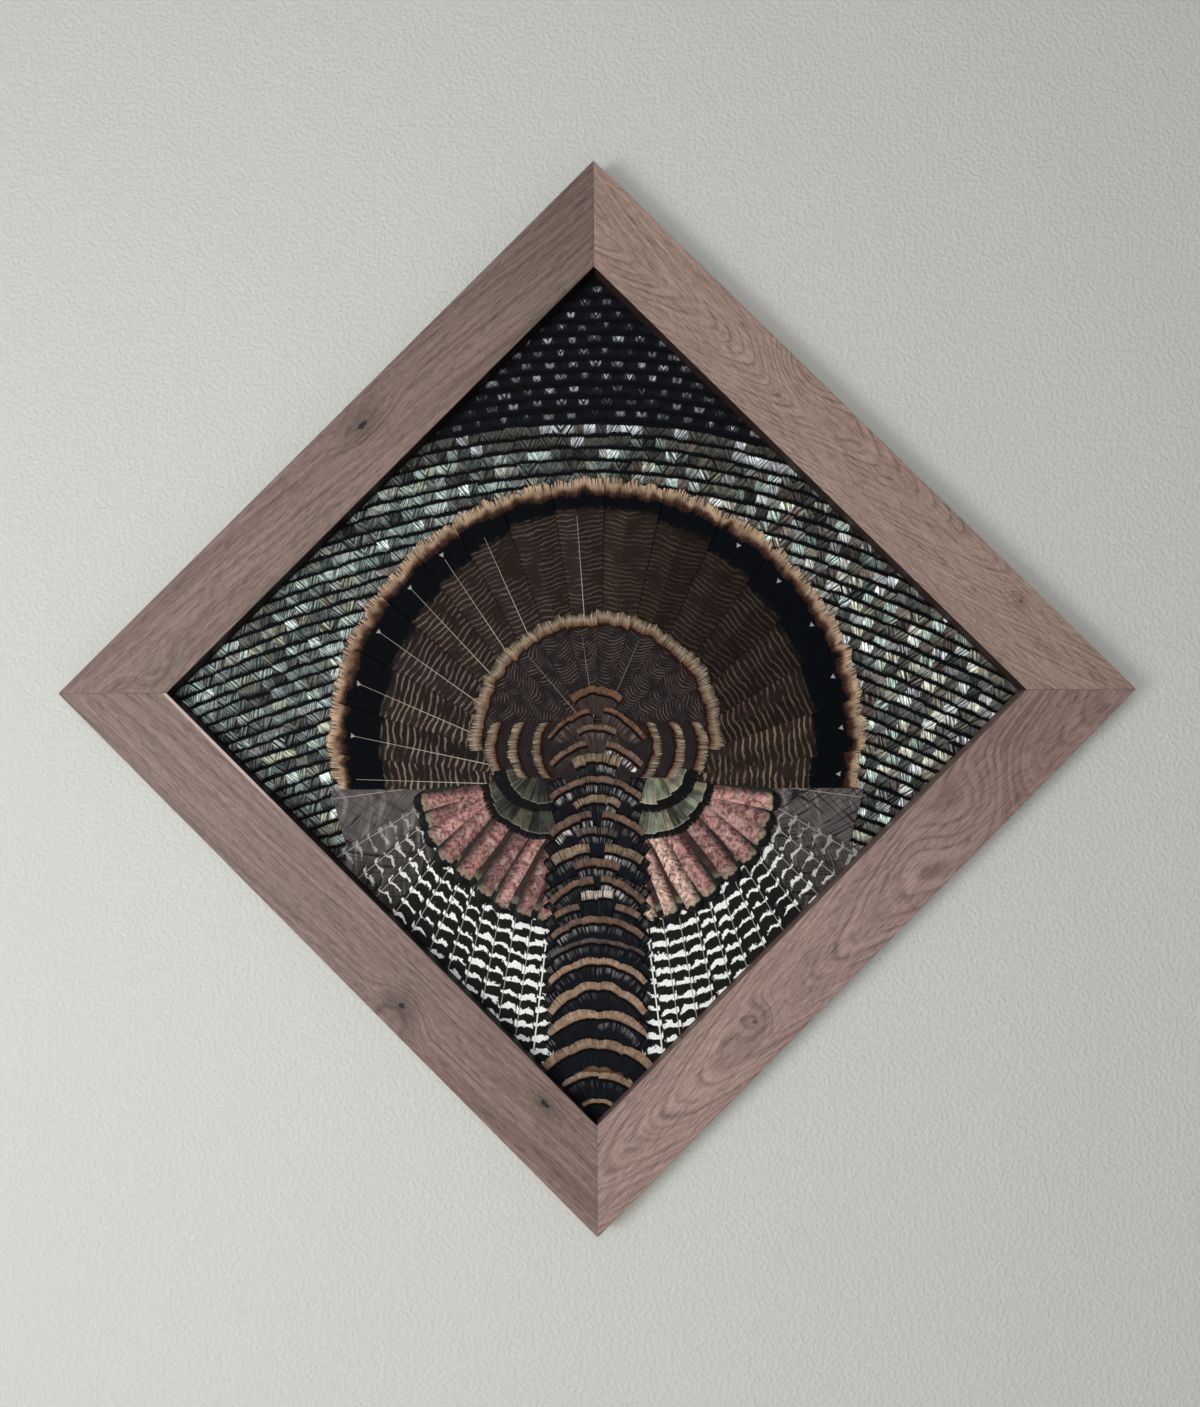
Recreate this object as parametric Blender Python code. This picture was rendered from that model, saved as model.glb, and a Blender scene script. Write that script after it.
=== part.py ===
"""A square walnut frame hung as a diamond, filled with a mosaic of wild turkey feathers.

Units are metres, +Z is up and the picture faces -Y. The origin is the centre of the flat back,
which lies on the wall at y = 0. Depths are counted forwards from that back plane.
"""

import math

import bmesh
import bpy
from mathutils import Matrix, Vector

# Frame
FRAME_SIDE = 0.9144
RAIL_WIDTH = 0.0930
FRAME_DEPTH = 0.0380
RAIL_EASING = 0.0015
RABBET_WIDTH = 0.0100
GAP = 0.0003
BOARD_THICKNESS = 0.0090
INNER_HALF = FRAME_SIDE / 2 - RAIL_WIDTH
RAIL_TURNS = {"upper_right": 45, "lower_right": 135, "lower_left": -135, "upper_left": -45}

# The mosaic's upright centre line, and the clearance of the feathers to the rails
CENTRE_X = 0.0010
EDGE_CLEARANCE = 0.0008

# Rows of body feathers that cover the board
ROW_COUNT = 46
ROW_PITCH = 0.0155
ROW_TOP_Z = 0.5210
ROW_CURVE_WIDTH = 0.4900
ROW_SLOPE_LEFT = 0.56
ROW_SLOPE_RIGHT = 0.70
ROW_COLUMNS = 12
ROW_HALF_WIDTH = 0.5300
BED_BACK = 0.0093
BED_LOW = 0.0106
BED_HIGH = 0.0128

# Tail fan
TAIL_CENTRE_Z = -0.1153
TAIL_SHAFT_ANGLES = (2.9, 13.4, 24.8, 36.8, 48.3, 59.4, 71.2, 83.5,
                     94.0, 104.0, 114.1, 123.6, 133.0, 144.4, 156.4, 168.0, 178.0)
TAIL_SIDE_RADIUS = 0.3190
TAIL_EXTRA_AT_TOP = 0.0600
TAIL_SHOULDER = 0.0200
TAIL_TIP_SHRINK = 0.14
TAIL_TIP_DROP = 0.0070
TAIL_QUILL_RADIUS = 0.0600
TAIL_QUILL_HALF_WIDTH = 0.0016
TAIL_OVERLAP = 0.0026
TAIL_OVERLAP_START = 0.1500
TAIL_DEPTH = 0.0155
TAIL_ROLL = math.radians(2.5)

# Ring of tail coverts over the fan's middle
COVERT_COUNT = 12
COVERT_CENTRE_Z = -0.0547
COVERT_RADIUS = 0.1547
COVERT_FIRST_ANGLE = -5.7
COVERT_LAST_ANGLE = 185.7
COVERT_SHOULDER = 0.0080
COVERT_TIP_SHRINK = 0.12
COVERT_TIP_DROP = 0.0035
COVERT_ROOT_RADIUS = 0.0240
COVERT_ROOT_HALF_WIDTH = 0.0011
COVERT_OVERLAP = 0.0012
COVERT_OVERLAP_START = 0.0950
COVERT_DEPTH = 0.0190
COVERT_ROLL = math.radians(3.0)

# Barred wing feathers below the fan, one fan on each side
WING_FEATHERS = 14
WING_CENTRE_Z = -0.0940
WING_FIRST_ANGLE = 7.0
WING_LAST_ANGLE = 84.0
WING_START_RADIUS = 0.2330
WING_RADIUS_LOSS = 0.0210
WING_TURN_KNOTS = ((7.0, 4.0), (13.0, 33.0), (28.0, 51.0), (45.0, 72.0), (57.0, 79.0), (84.0, 86.0))
WING_HIDDEN_LENGTH = 0.0550
WING_SHORT_ROOTS = 6
WING_FIRST_LENGTH = 0.0900
WING_LENGTH_STEP = 0.0150
WING_STEPS = 5
WING_LOW = 0.0143
WING_HIGH = 0.0158
WING_BACK_OVER_ROWS = 0.0133
WING_BACK_ON_BOARD = 0.0095
WING_ON_BOARD_Z = -0.2850

# Copper coverts that fan out over the roots of the wing feathers
COPPER_TIPS = ((0.2223, -0.1400, 8), (0.2150, -0.1615, 24), (0.2080, -0.1830, 35),
               (0.1930, -0.2085, 47), (0.1690, -0.2290, 52), (0.1428, -0.2520, 56),
               (0.1215, -0.2665, 60), (0.0930, -0.2780, 66), (0.0650, -0.2860, 76))
COPPER_LENGTH = 0.1050
COPPER_HALF_WIDTH = 0.0116
COPPER_ROOT_HALF_WIDTH = 0.0015
COPPER_SHOULDER = 0.0080
COPPER_TIP_SHRINK = 0.15
COPPER_TIP_DROP = 0.0050
COPPER_TAPER = 0.0750
COPPER_DEPTHS = (0.0166, 0.0177, 0.0188)

# Green feathers between the copper coverts and the fan's middle
GREEN_ROWS = 2
GREEN_COLUMNS = 8
GREEN_CENTRE_Z = -0.0547
GREEN_OUTER_RADII = (0.1620, 0.1400)
GREEN_INNER_RADIUS = 0.0980
GREEN_SWEEP = (30.0, 66.0)
GREEN_RADIUS_LOSS = 0.0230
GREEN_BACK = 0.0196
GREEN_LOW = 0.0203
GREEN_HIGH = 0.0218
GREEN_INNER_X = 0.0640

# Rump feathers: apex height, half width and drop of the ends of each row down the middle
RUMP_ROWS = ((0.0084, 0.0330, 0.0170), (-0.0180, 0.0600, 0.0300), (-0.0389, 0.0720, 0.0380),
             (-0.0560, 0.0760, 0.0340), (-0.0728, 0.0740, 0.0300), (-0.0990, 0.0600, 0.0200),
             (-0.1220, 0.0575, 0.0220), (-0.1420, 0.0575, 0.0220), (-0.1620, 0.0575, 0.0240),
             (-0.1820, 0.0575, 0.0240), (-0.1995, 0.0575, 0.0240), (-0.2200, 0.0575, 0.0240),
             (-0.2400, 0.0575, 0.0220), (-0.2690, 0.0575, 0.0200), (-0.2960, 0.0580, 0.0180),
             (-0.3183, 0.0600, 0.0270), (-0.3485, 0.0610, 0.0350), (-0.3816, 0.0640, 0.0330),
             (-0.4162, 0.0690, 0.0330), (-0.4543, 0.0450, 0.0160), (-0.4876, 0.0200, 0.0070))
RUMP_END_Z = -0.5100
RUMP_COLUMNS = 6
RUMP_STEP = 0.0014
RUMP_FRONT_TOP = 0.0238
RUMP_FRONT_BOTTOM = 0.0208
RUMP_BACKS = ((-0.1250, 0.0210), (-0.3150, 0.0196), (-1.0000, 0.0162))
RUMP_SIDE_TIPS = (0.1360, 0.1070)
RUMP_SIDE_HALF_HEIGHT = 0.0320
RUMP_SIDE_Z = -0.0700
RUMP_SIDE_FRONTS = (0.0220, 0.0230)
RUMP_SIDE_ROUNDING = 0.0200
RUMP_SIDE_DROP = 0.0120
RUMP_SIDE_SHRINK = 0.20

VANE_THICKNESS = 0.0008
MERGE_DISTANCE = 0.00001
OUTLINE_STEPS = 6
TIP_CROWDING = 1.7


def clear_scene():
    for thing in list(bpy.data.objects):
        bpy.data.objects.remove(thing, do_unlink=True)


def finish(name, colour, roughness, metallic=0.0):
    material = bpy.data.materials.new(name)
    material.use_nodes = True
    shader = material.node_tree.nodes["Principled BSDF"]
    shader.inputs["Base Color"].default_value = (*colour, 1.0)
    shader.inputs["Roughness"].default_value = roughness
    shader.inputs["Metallic"].default_value = metallic
    material.diffuse_color = (*colour, 1.0)
    return material


def new_object(name, mesh_data, material, turn=0.0):
    """Turn is in degrees about +Y, which swings the picture's up direction to its right."""
    bmesh.ops.recalc_face_normals(mesh_data, faces=mesh_data.faces)
    mesh = bpy.data.meshes.new(name)
    mesh_data.to_mesh(mesh)
    mesh_data.free()
    mesh.materials.append(material)
    made = bpy.data.objects.new(name, mesh)
    made.rotation_euler = (0.0, math.radians(turn), 0.0)
    bpy.context.scene.collection.objects.link(made)
    return made


def extrude_faces(mesh_data, move):
    """Gives an open sheet a back. Move takes each copied vertex to its place."""
    sheet = bmesh.ops.extrude_face_region(mesh_data, geom=mesh_data.faces[:])
    for vertex in (part for part in sheet["geom"] if isinstance(part, bmesh.types.BMVert)):
        vertex.co = move(vertex.co)


def boolean(target, cutter, operation):
    cut = target.modifiers.new(operation.lower(), "BOOLEAN")
    cut.operation = operation
    cut.solver = "EXACT"
    cut.object = cutter
    cutter.hide_render = True
    cutter.display_type = "WIRE"


def make_rail(name, turn, material):
    """One mitred rail with a rabbet at its back for the board. Its own +Z points outwards."""
    outer = FRAME_SIDE / 2
    lip = INNER_HALF + RABBET_WIDTH
    rabbet = BOARD_THICKNESS + GAP
    profile = ((outer, 0.0), (outer, FRAME_DEPTH), (INNER_HALF, FRAME_DEPTH),
               (INNER_HALF, rabbet), (lip, rabbet), (lip, 0.0))
    rail = bmesh.new()
    corners = [rail.verts.new((-outer, -depth, across)) for across, depth in profile]
    end = rail.faces.new(corners)
    grown = bmesh.ops.extrude_face_region(rail, geom=[end])
    moved = [part for part in grown["geom"] if isinstance(part, bmesh.types.BMVert)]
    bmesh.ops.translate(rail, verts=moved, vec=(FRAME_SIDE, 0.0, 0.0))
    arrises = [edge for edge in rail.edges
               if all(abs(vertex.co.y + FRAME_DEPTH) < GAP for vertex in edge.verts)
               and abs(edge.verts[0].co.z - edge.verts[1].co.z) < GAP]
    bmesh.ops.bevel(rail, geom=arrises, offset=RAIL_EASING, segments=2, profile=0.5,
                    affect="EDGES", material=-1)
    for side in (-1, 1):
        cut = bmesh.ops.bisect_plane(
            rail, geom=rail.verts[:] + rail.edges[:] + rail.faces[:], clear_outer=True,
            plane_co=(side * (-GAP / math.sqrt(2)), 0.0, 0.0), plane_no=(side, 0.0, -1.0))
        rim = [part for part in cut["geom_cut"] if isinstance(part, bmesh.types.BMEdge)]
        bmesh.ops.contextual_create(rail, geom=rim)
    return new_object(f"rail_{name}", rail, material, turn)


def make_board(material):
    half = INNER_HALF + RABBET_WIDTH - GAP
    board = bmesh.new()
    place = Matrix.Translation((0.0, -BOARD_THICKNESS / 2, 0.0))
    size = Matrix.Diagonal((2 * half, BOARD_THICKNESS, 2 * half, 1.0))
    bmesh.ops.create_cube(board, size=1.0, matrix=place @ size)
    return new_object("backing_board", board, material, 45)


def make_edge_cutter(name):
    """The space inside the rails, which trims the feathers that run up to them."""
    half = INNER_HALF - EDGE_CLEARANCE
    block = bmesh.new()
    size = Matrix.Diagonal((2 * half, 2 * FRAME_DEPTH, 2 * half, 1.0))
    bmesh.ops.create_cube(block, size=1.0, matrix=size)
    return new_object(name, block, finish(name, (0.5, 0.5, 0.5), 0.5), 45)


def stepped_sheet(rows, columns, place, back):
    """Overlapping rows as one solid.

    Place takes the row, its side (0 the raised edge, 1 the low one) and the share along it.
    Back takes a point and gives the depth of the solid's back there.
    """
    sheet = bmesh.new()
    bmesh.ops.create_grid(sheet, x_segments=columns, y_segments=2 * rows - 1, size=0.5)
    for vertex in sheet.verts:
        line = round((0.5 - vertex.co.y) * (2 * rows - 1))
        vertex.co = Vector(place(line // 2, line % 2, vertex.co.x + 0.5))
    extrude_faces(sheet, lambda point: Vector((point.x, -back(point), point.z)))
    bmesh.ops.remove_doubles(sheet, verts=sheet.verts, dist=MERGE_DISTANCE)
    bmesh.ops.dissolve_degenerate(sheet, edges=sheet.edges, dist=MERGE_DISTANCE)
    return sheet


def row_drop(x):
    """How far a row of body feathers has fallen at x below its crown on the centre line."""
    slope = ROW_SLOPE_LEFT if x < 0 else ROW_SLOPE_RIGHT
    return slope * (math.hypot(ROW_CURVE_WIDTH, x) - ROW_CURVE_WIDTH)


def make_body_feathers(material, cutter):
    def place(row, side, share):
        x = (share - 0.5) * 2 * ROW_HALF_WIDTH
        crown = ROW_TOP_Z + ROW_PITCH - (row + side) * ROW_PITCH
        return x + CENTRE_X, -(BED_LOW if side else BED_HIGH), crown - row_drop(x)

    sheet = stepped_sheet(ROW_COUNT, ROW_COLUMNS, place, lambda point: BED_BACK)
    made = new_object("body_feathers", sheet, material)
    boolean(made, cutter, "INTERSECT")
    return made


def blade(length, half_width, depth, roll):
    """A flat feather along +Z from its root at z = 0, rolled about its shaft, at this depth.

    Half_width takes the height along the feather and gives (left, right) widths there, and a
    drop of the edges below the shaft's end, for the rounded tip.
    """
    feather = bmesh.new()
    bmesh.ops.create_grid(feather, x_segments=4, y_segments=OUTLINE_STEPS, size=0.5)
    for vertex in feather.verts:
        across = vertex.co.x * 2
        along = 1 - (0.5 - vertex.co.y) ** TIP_CROWDING
        left, right, drop = half_width(along * length)
        x = across * (left if across < 0 else right)
        z = along * length - drop * across * across
        vertex.co = (x, -depth - VANE_THICKNESS / 2 - x * math.sin(roll), z)
    extrude_faces(feather, lambda point: point + Vector((0.0, VANE_THICKNESS, 0.0)))
    return feather


def swing(feather, angle, x, z):
    """Turns a blade so that it points at this angle from +X towards +Z, and moves its root."""
    turn = Matrix.Rotation(math.radians(90 - angle), 4, "Y")
    bmesh.ops.transform(feather, matrix=Matrix.Translation((x, 0.0, z)) @ turn, verts=feather.verts)


def tail_radius(angle):
    return TAIL_SIDE_RADIUS + TAIL_EXTRA_AT_TOP * max(math.sin(math.radians(angle)), 0.0) ** 0.85


def make_tail_feather(index, material):
    angles = TAIL_SHAFT_ANGLES
    angle = angles[index]
    lower = angles[index - 1] if index else -angle
    upper = angles[index + 1] if index + 1 < len(angles) else 360 - angle
    radius = tail_radius(angle)

    def width(height, gap_to_next):
        if height < TAIL_OVERLAP_START / 2:
            return TAIL_QUILL_HALF_WIDTH
        reach = height * math.tan(math.radians(gap_to_next) / 2)
        if height < TAIL_OVERLAP_START:
            return max(TAIL_QUILL_HALF_WIDTH, reach - GAP * 2)
        return reach + TAIL_OVERLAP / 2

    def half_width(height):
        reach = height + TAIL_QUILL_RADIUS
        left, right = width(reach, upper - angle), width(reach, angle - lower)
        if index == 0:
            right = min(right, reach * math.tan(math.radians(angle)))
        if index + 1 == len(angles):
            left = min(left, reach * math.tan(math.radians(180 - angle)))
        tip = max(0.0, (reach - radius + TAIL_SHOULDER) / TAIL_SHOULDER)
        shrink = 1 - TAIL_TIP_SHRINK * tip
        return left * shrink, right * shrink, TAIL_TIP_DROP * tip

    feather = blade(radius - TAIL_QUILL_RADIUS, half_width, TAIL_DEPTH, TAIL_ROLL)
    bmesh.ops.translate(feather, verts=feather.verts, vec=(0.0, 0.0, TAIL_QUILL_RADIUS))
    swing(feather, angle, CENTRE_X, TAIL_CENTRE_Z)
    return new_object(f"tail_feather_{index + 1:02d}", feather, material)


def make_tail_covert(index, material):
    pitch = (COVERT_LAST_ANGLE - COVERT_FIRST_ANGLE) / COVERT_COUNT
    angle = COVERT_FIRST_ANGLE + (index + 0.5) * pitch

    def half_width(height):
        reach = height + COVERT_ROOT_RADIUS
        side = reach * math.tan(math.radians(pitch) / 2)
        side += COVERT_OVERLAP / 2 if reach > COVERT_OVERLAP_START else -2 * GAP
        side = max(side, COVERT_ROOT_HALF_WIDTH)
        tip = max(0.0, (reach - COVERT_RADIUS + COVERT_SHOULDER) / COVERT_SHOULDER)
        shrink = 1 - COVERT_TIP_SHRINK * tip
        return side * shrink, side * shrink, COVERT_TIP_DROP * tip

    feather = blade(COVERT_RADIUS - COVERT_ROOT_RADIUS, half_width, COVERT_DEPTH, COVERT_ROLL)
    bmesh.ops.translate(feather, verts=feather.verts, vec=(0.0, 0.0, COVERT_ROOT_RADIUS))
    swing(feather, angle, CENTRE_X, COVERT_CENTRE_Z)
    return new_object(f"tail_covert_{index + 1:02d}", feather, material)


def between_knots(knots, value):
    for (low, first), (high, last) in zip(knots, knots[1:]):
        if value <= high:
            return first + (last - first) * (value - low) / (high - low)
    return knots[-1][1]


def make_wing_feathers(side_name, side, material, cutter):
    """Side is -1 for the picture's left and 1 for its right."""
    def line(number):
        share = number / WING_FEATHERS
        fan = WING_FIRST_ANGLE + (WING_LAST_ANGLE - WING_FIRST_ANGLE) * share
        turn = math.radians(between_knots(WING_TURN_KNOTS, fan))
        radius = WING_START_RADIUS - WING_RADIUS_LOSS * share
        fan = math.radians(fan)
        start = (radius * math.cos(fan), WING_CENTRE_Z - radius * math.sin(fan))
        return start, (math.cos(turn), -math.sin(turn))

    def place(row, edge, share):
        number = row + edge
        start, way = line(number)
        hidden = WING_HIDDEN_LENGTH * min(1.0, (number + 1) / WING_SHORT_ROOTS)
        step = share * (WING_FIRST_LENGTH + number * WING_LENGTH_STEP + hidden) - hidden
        x, z = start[0] + way[0] * step, start[1] + way[1] * step
        depth = WING_LOW if edge == (side < 0) else WING_HIGH
        return side * x + CENTRE_X, -depth, z

    def back(point):
        return WING_BACK_ON_BOARD if point.z < WING_ON_BOARD_Z else WING_BACK_OVER_ROWS

    sheet = stepped_sheet(WING_FEATHERS, WING_STEPS, place, back)
    made = new_object(f"wing_feathers_{side_name}", sheet, material)
    boolean(made, cutter, "INTERSECT")
    return made


def make_copper_covert(side_name, side, index, material):
    x, z, slope = COPPER_TIPS[index]

    def half_width(height):
        grown = min(1.0, height / COPPER_TAPER)
        width = COPPER_ROOT_HALF_WIDTH + (COPPER_HALF_WIDTH - COPPER_ROOT_HALF_WIDTH) * grown
        tip = max(0.0, (height - COPPER_LENGTH + COPPER_SHOULDER) / COPPER_SHOULDER)
        width *= 1 - COPPER_TIP_SHRINK * tip
        return width, width, COPPER_TIP_DROP * tip

    feather = blade(COPPER_LENGTH, half_width, COPPER_DEPTHS[index % len(COPPER_DEPTHS)], 0.0)
    turn = math.radians(slope)
    root_x = side * (x - COPPER_LENGTH * math.cos(turn)) + CENTRE_X
    root_z = z + COPPER_LENGTH * math.sin(turn)
    swing(feather, -slope if side > 0 else 180 + slope, root_x, root_z)
    return new_object(f"copper_covert_{side_name}_{index + 1}", feather, material)


def make_green_feathers(side_name, side, material):
    def place(row, edge, share):
        radius = GREEN_INNER_RADIUS if row + edge == GREEN_ROWS else GREEN_OUTER_RADII[row + edge]
        angle = math.radians(GREEN_SWEEP[0] + (GREEN_SWEEP[1] - GREEN_SWEEP[0]) * share)
        radius -= GREEN_RADIUS_LOSS * share
        x = max(radius * math.cos(angle), GREEN_INNER_X - row * GAP)
        z = GREEN_CENTRE_Z - radius * math.sin(angle)
        return side * x + CENTRE_X, -(GREEN_LOW if edge else GREEN_HIGH), z

    sheet = stepped_sheet(GREEN_ROWS, GREEN_COLUMNS, place, lambda point: GREEN_BACK)
    return new_object(f"green_feathers_{side_name}", sheet, material)


def rump_back(point):
    for lowest, depth in RUMP_BACKS:
        if point.z > lowest:
            return depth
    return RUMP_BACKS[-1][1]


def make_rump_feathers(material, cutter):
    """The column down the middle, with the side feathers that stand out of both its flanks."""
    def place(row, edge, share):
        across = 2 * share - 1
        if row + edge < len(RUMP_ROWS):
            crown, half, drop = RUMP_ROWS[row + edge]
        else:
            crown, half, drop = RUMP_END_Z, RUMP_ROWS[-1][1] / 4, 0.0
        fall = (RUMP_ROWS[0][0] - crown) / (RUMP_ROWS[0][0] - RUMP_END_Z)
        front = RUMP_FRONT_TOP + (RUMP_FRONT_BOTTOM - RUMP_FRONT_TOP) * fall
        depth = front - RUMP_STEP if edge else front
        return across * half + CENTRE_X, -depth, crown - drop * across * across

    sheet = stepped_sheet(len(RUMP_ROWS), RUMP_COLUMNS, place, rump_back)
    column = new_object("rump_feathers", sheet, material)
    for number, (tip, front) in enumerate(zip(RUMP_SIDE_TIPS, RUMP_SIDE_FRONTS)):
        def half_width(height, tip=tip):
            end = max(0.0, 1 - min(height, 2 * tip - height) / RUMP_SIDE_ROUNDING)
            now = RUMP_SIDE_HALF_HEIGHT * (1 - RUMP_SIDE_SHRINK * end)
            return now, now, RUMP_SIDE_DROP * end * (1 if height > tip else -1)

        feather = blade(2 * tip, half_width, front - VANE_THICKNESS, 0.0)
        swing(feather, 0, CENTRE_X - tip, RUMP_SIDE_Z)
        boolean(column, new_object(f"rump_side_{number}", feather, material), "UNION")
    boolean(column, cutter, "INTERSECT")
    return column


def main():
    clear_scene()
    walnut = finish("walnut", (0.26, 0.17, 0.13), 0.45)
    board = finish("board", (0.20, 0.15, 0.11), 0.80)
    bronze = finish("bronze_green", (0.10, 0.13, 0.11), 0.45)
    brown = finish("tail_brown", (0.07, 0.05, 0.04), 0.60)
    buff = finish("covert_brown", (0.13, 0.09, 0.06), 0.60)
    barred = finish("wing_barred", (0.22, 0.22, 0.21), 0.60)
    copper = finish("copper", (0.31, 0.15, 0.12), 0.45)
    green = finish("green", (0.17, 0.22, 0.17), 0.45)
    black = finish("rump_black", (0.04, 0.04, 0.05), 0.45)

    for name, turn in RAIL_TURNS.items():
        make_rail(name, turn, walnut)
    make_board(board)
    cutter = make_edge_cutter("edge_cutter")
    make_body_feathers(bronze, cutter)
    for index in range(len(TAIL_SHAFT_ANGLES)):
        make_tail_feather(index, brown)
    for index in range(COVERT_COUNT):
        make_tail_covert(index, buff)
    for side_name, side in (("left", -1), ("right", 1)):
        make_wing_feathers(side_name, side, barred, cutter)
        for index in range(len(COPPER_TIPS)):
            make_copper_covert(side_name, side, index, copper)
        make_green_feathers(side_name, side, green)
    make_rump_feathers(black, cutter)


main()
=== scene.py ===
"""A square walnut frame hung as a diamond, filled with a mosaic of wild turkey feathers.

Units are metres, +Z is up and the picture faces -Y. A feather is a grid shaped along its shaft. Its UV map
holds real distances, across from the shaft and down from the tip, so bars and bands keep their true size.
"""

import sys

import logging
import math
import random
from dataclasses import dataclass, field, replace
from enum import Enum
from typing import Callable, Mapping, Sequence

import bmesh
import bpy
from mathutils import Matrix, Vector, noise


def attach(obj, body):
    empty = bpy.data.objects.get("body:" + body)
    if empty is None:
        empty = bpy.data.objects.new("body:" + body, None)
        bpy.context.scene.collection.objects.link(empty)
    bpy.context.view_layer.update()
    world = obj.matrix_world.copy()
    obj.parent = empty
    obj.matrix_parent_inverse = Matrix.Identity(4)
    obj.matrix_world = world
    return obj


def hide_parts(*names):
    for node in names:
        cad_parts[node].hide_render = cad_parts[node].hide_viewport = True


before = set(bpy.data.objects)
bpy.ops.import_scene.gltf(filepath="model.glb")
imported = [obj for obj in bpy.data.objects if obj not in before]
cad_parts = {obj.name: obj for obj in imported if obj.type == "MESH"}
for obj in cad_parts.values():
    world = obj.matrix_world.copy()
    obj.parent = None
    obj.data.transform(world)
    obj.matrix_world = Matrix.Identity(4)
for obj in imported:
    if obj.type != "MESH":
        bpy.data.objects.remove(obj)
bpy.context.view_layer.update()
LOG = logging.getLogger("feather_mosaic")

Colour = tuple[float, float, float]
Spot = tuple[Vector, float, float]
Socket = bpy.types.NodeSocket
Number = "Value | float"
Plug = "Value | Socket | float | Colour | tuple[float, ...]"

LIGHT_ON_WALL = 0.85
UV_NAME = "vane"
TINT_NAME = "tint"
FACTS_NAME = "facts"

FRAME_SIDE = 0.9144
RAIL_WIDTH = 0.0930
INNER_HALF = FRAME_SIDE / 2 - RAIL_WIDTH
EDGE_CLEARANCE = 0.0008
CENTRE_X = 0.0010


def seen(red: int, green: int, blue: int) -> Colour:
    """Turns a colour as it looks in soft daylight into the surface's own colour.

    Args:
        red: Red from 0 to 255, as displayed.
        green: Green from 0 to 255.
        blue: Blue from 0 to 255.

    Returns:
        The linear surface colour.
    """
    def linear(level: int) -> float:
        """One displayed channel as light."""
        share = level / 255
        return share / 12.92 if share <= 0.04045 else ((share + 0.055) / 1.055) ** 2.4

    return tuple(min(1.0, linear(level) / LIGHT_ON_WALL) for level in (red, green, blue))


def dimmed(colour: Colour, amount: float) -> Colour:
    """A colour made darker or lighter by a number."""
    return tuple(part * amount for part in colour)


def between(first: Colour, second: Colour, share: float) -> Colour:
    """A colour this share of the way from the first to the second."""
    return tuple(low + (high - low) * share for low, high in zip(first, second))


class Value:
    """A number in a material. Python's operators on it add Math nodes."""

    def __init__(self, graph: "Graph", socket: Socket) -> None:
        """Wraps the output socket of a number in this graph."""
        self.graph = graph
        self.socket = socket

    def __add__(self, other: Number) -> "Value":
        """Adds."""
        return self.graph.math("ADD", self, other)

    def __sub__(self, other: Number) -> "Value":
        """Subtracts."""
        return self.graph.math("SUBTRACT", self, other)

    def __rsub__(self, other: Number) -> "Value":
        """Subtracts from a plain number."""
        return self.graph.math("SUBTRACT", other, self)

    def __mul__(self, other: Number) -> "Value":
        """Multiplies."""
        return self.graph.math("MULTIPLY", self, other)

    def __truediv__(self, other: Number) -> "Value":
        """Divides."""
        return self.graph.math("DIVIDE", self, other)

    def __pow__(self, other: Number) -> "Value":
        """Raises to a power."""
        return self.graph.math("POWER", self, other)

    __radd__ = __add__
    __rmul__ = __mul__

    def __abs__(self) -> "Value":
        """Drops the sign."""
        return self.graph.math("ABSOLUTE", self)

    def wave(self) -> "Value":
        """A smooth wave from 0 to 1 that repeats with every whole number."""
        return self.graph.math("SINE", self * (2 * math.pi)) * 0.5 + 0.5

    def largest(self, other: Number) -> "Value":
        """The larger of two."""
        return self.graph.math("MAXIMUM", self, other)

    def step(self, low: Number, high: Number) -> "Value":
        """Rises smoothly from 0 at low to 1 at high.

        Args:
            low: Where the rise starts.
            high: Where it ends. It may be below low, and then the step falls.

        Returns:
            The step, from 0 to 1.
        """
        made = self.graph.node("ShaderNodeMapRange", {"interpolation_type": "SMOOTHSTEP"},
                               {"Value": self, "From Min": low, "From Max": high})
        return Value(self.graph, made.outputs[0])

    def within(self, limit: Number, blur: float) -> "Value":
        """1 below a limit and 0 above it, with an edge that is blurred this far to each side."""
        return self.step(limit + blur, limit - blur)


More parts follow.
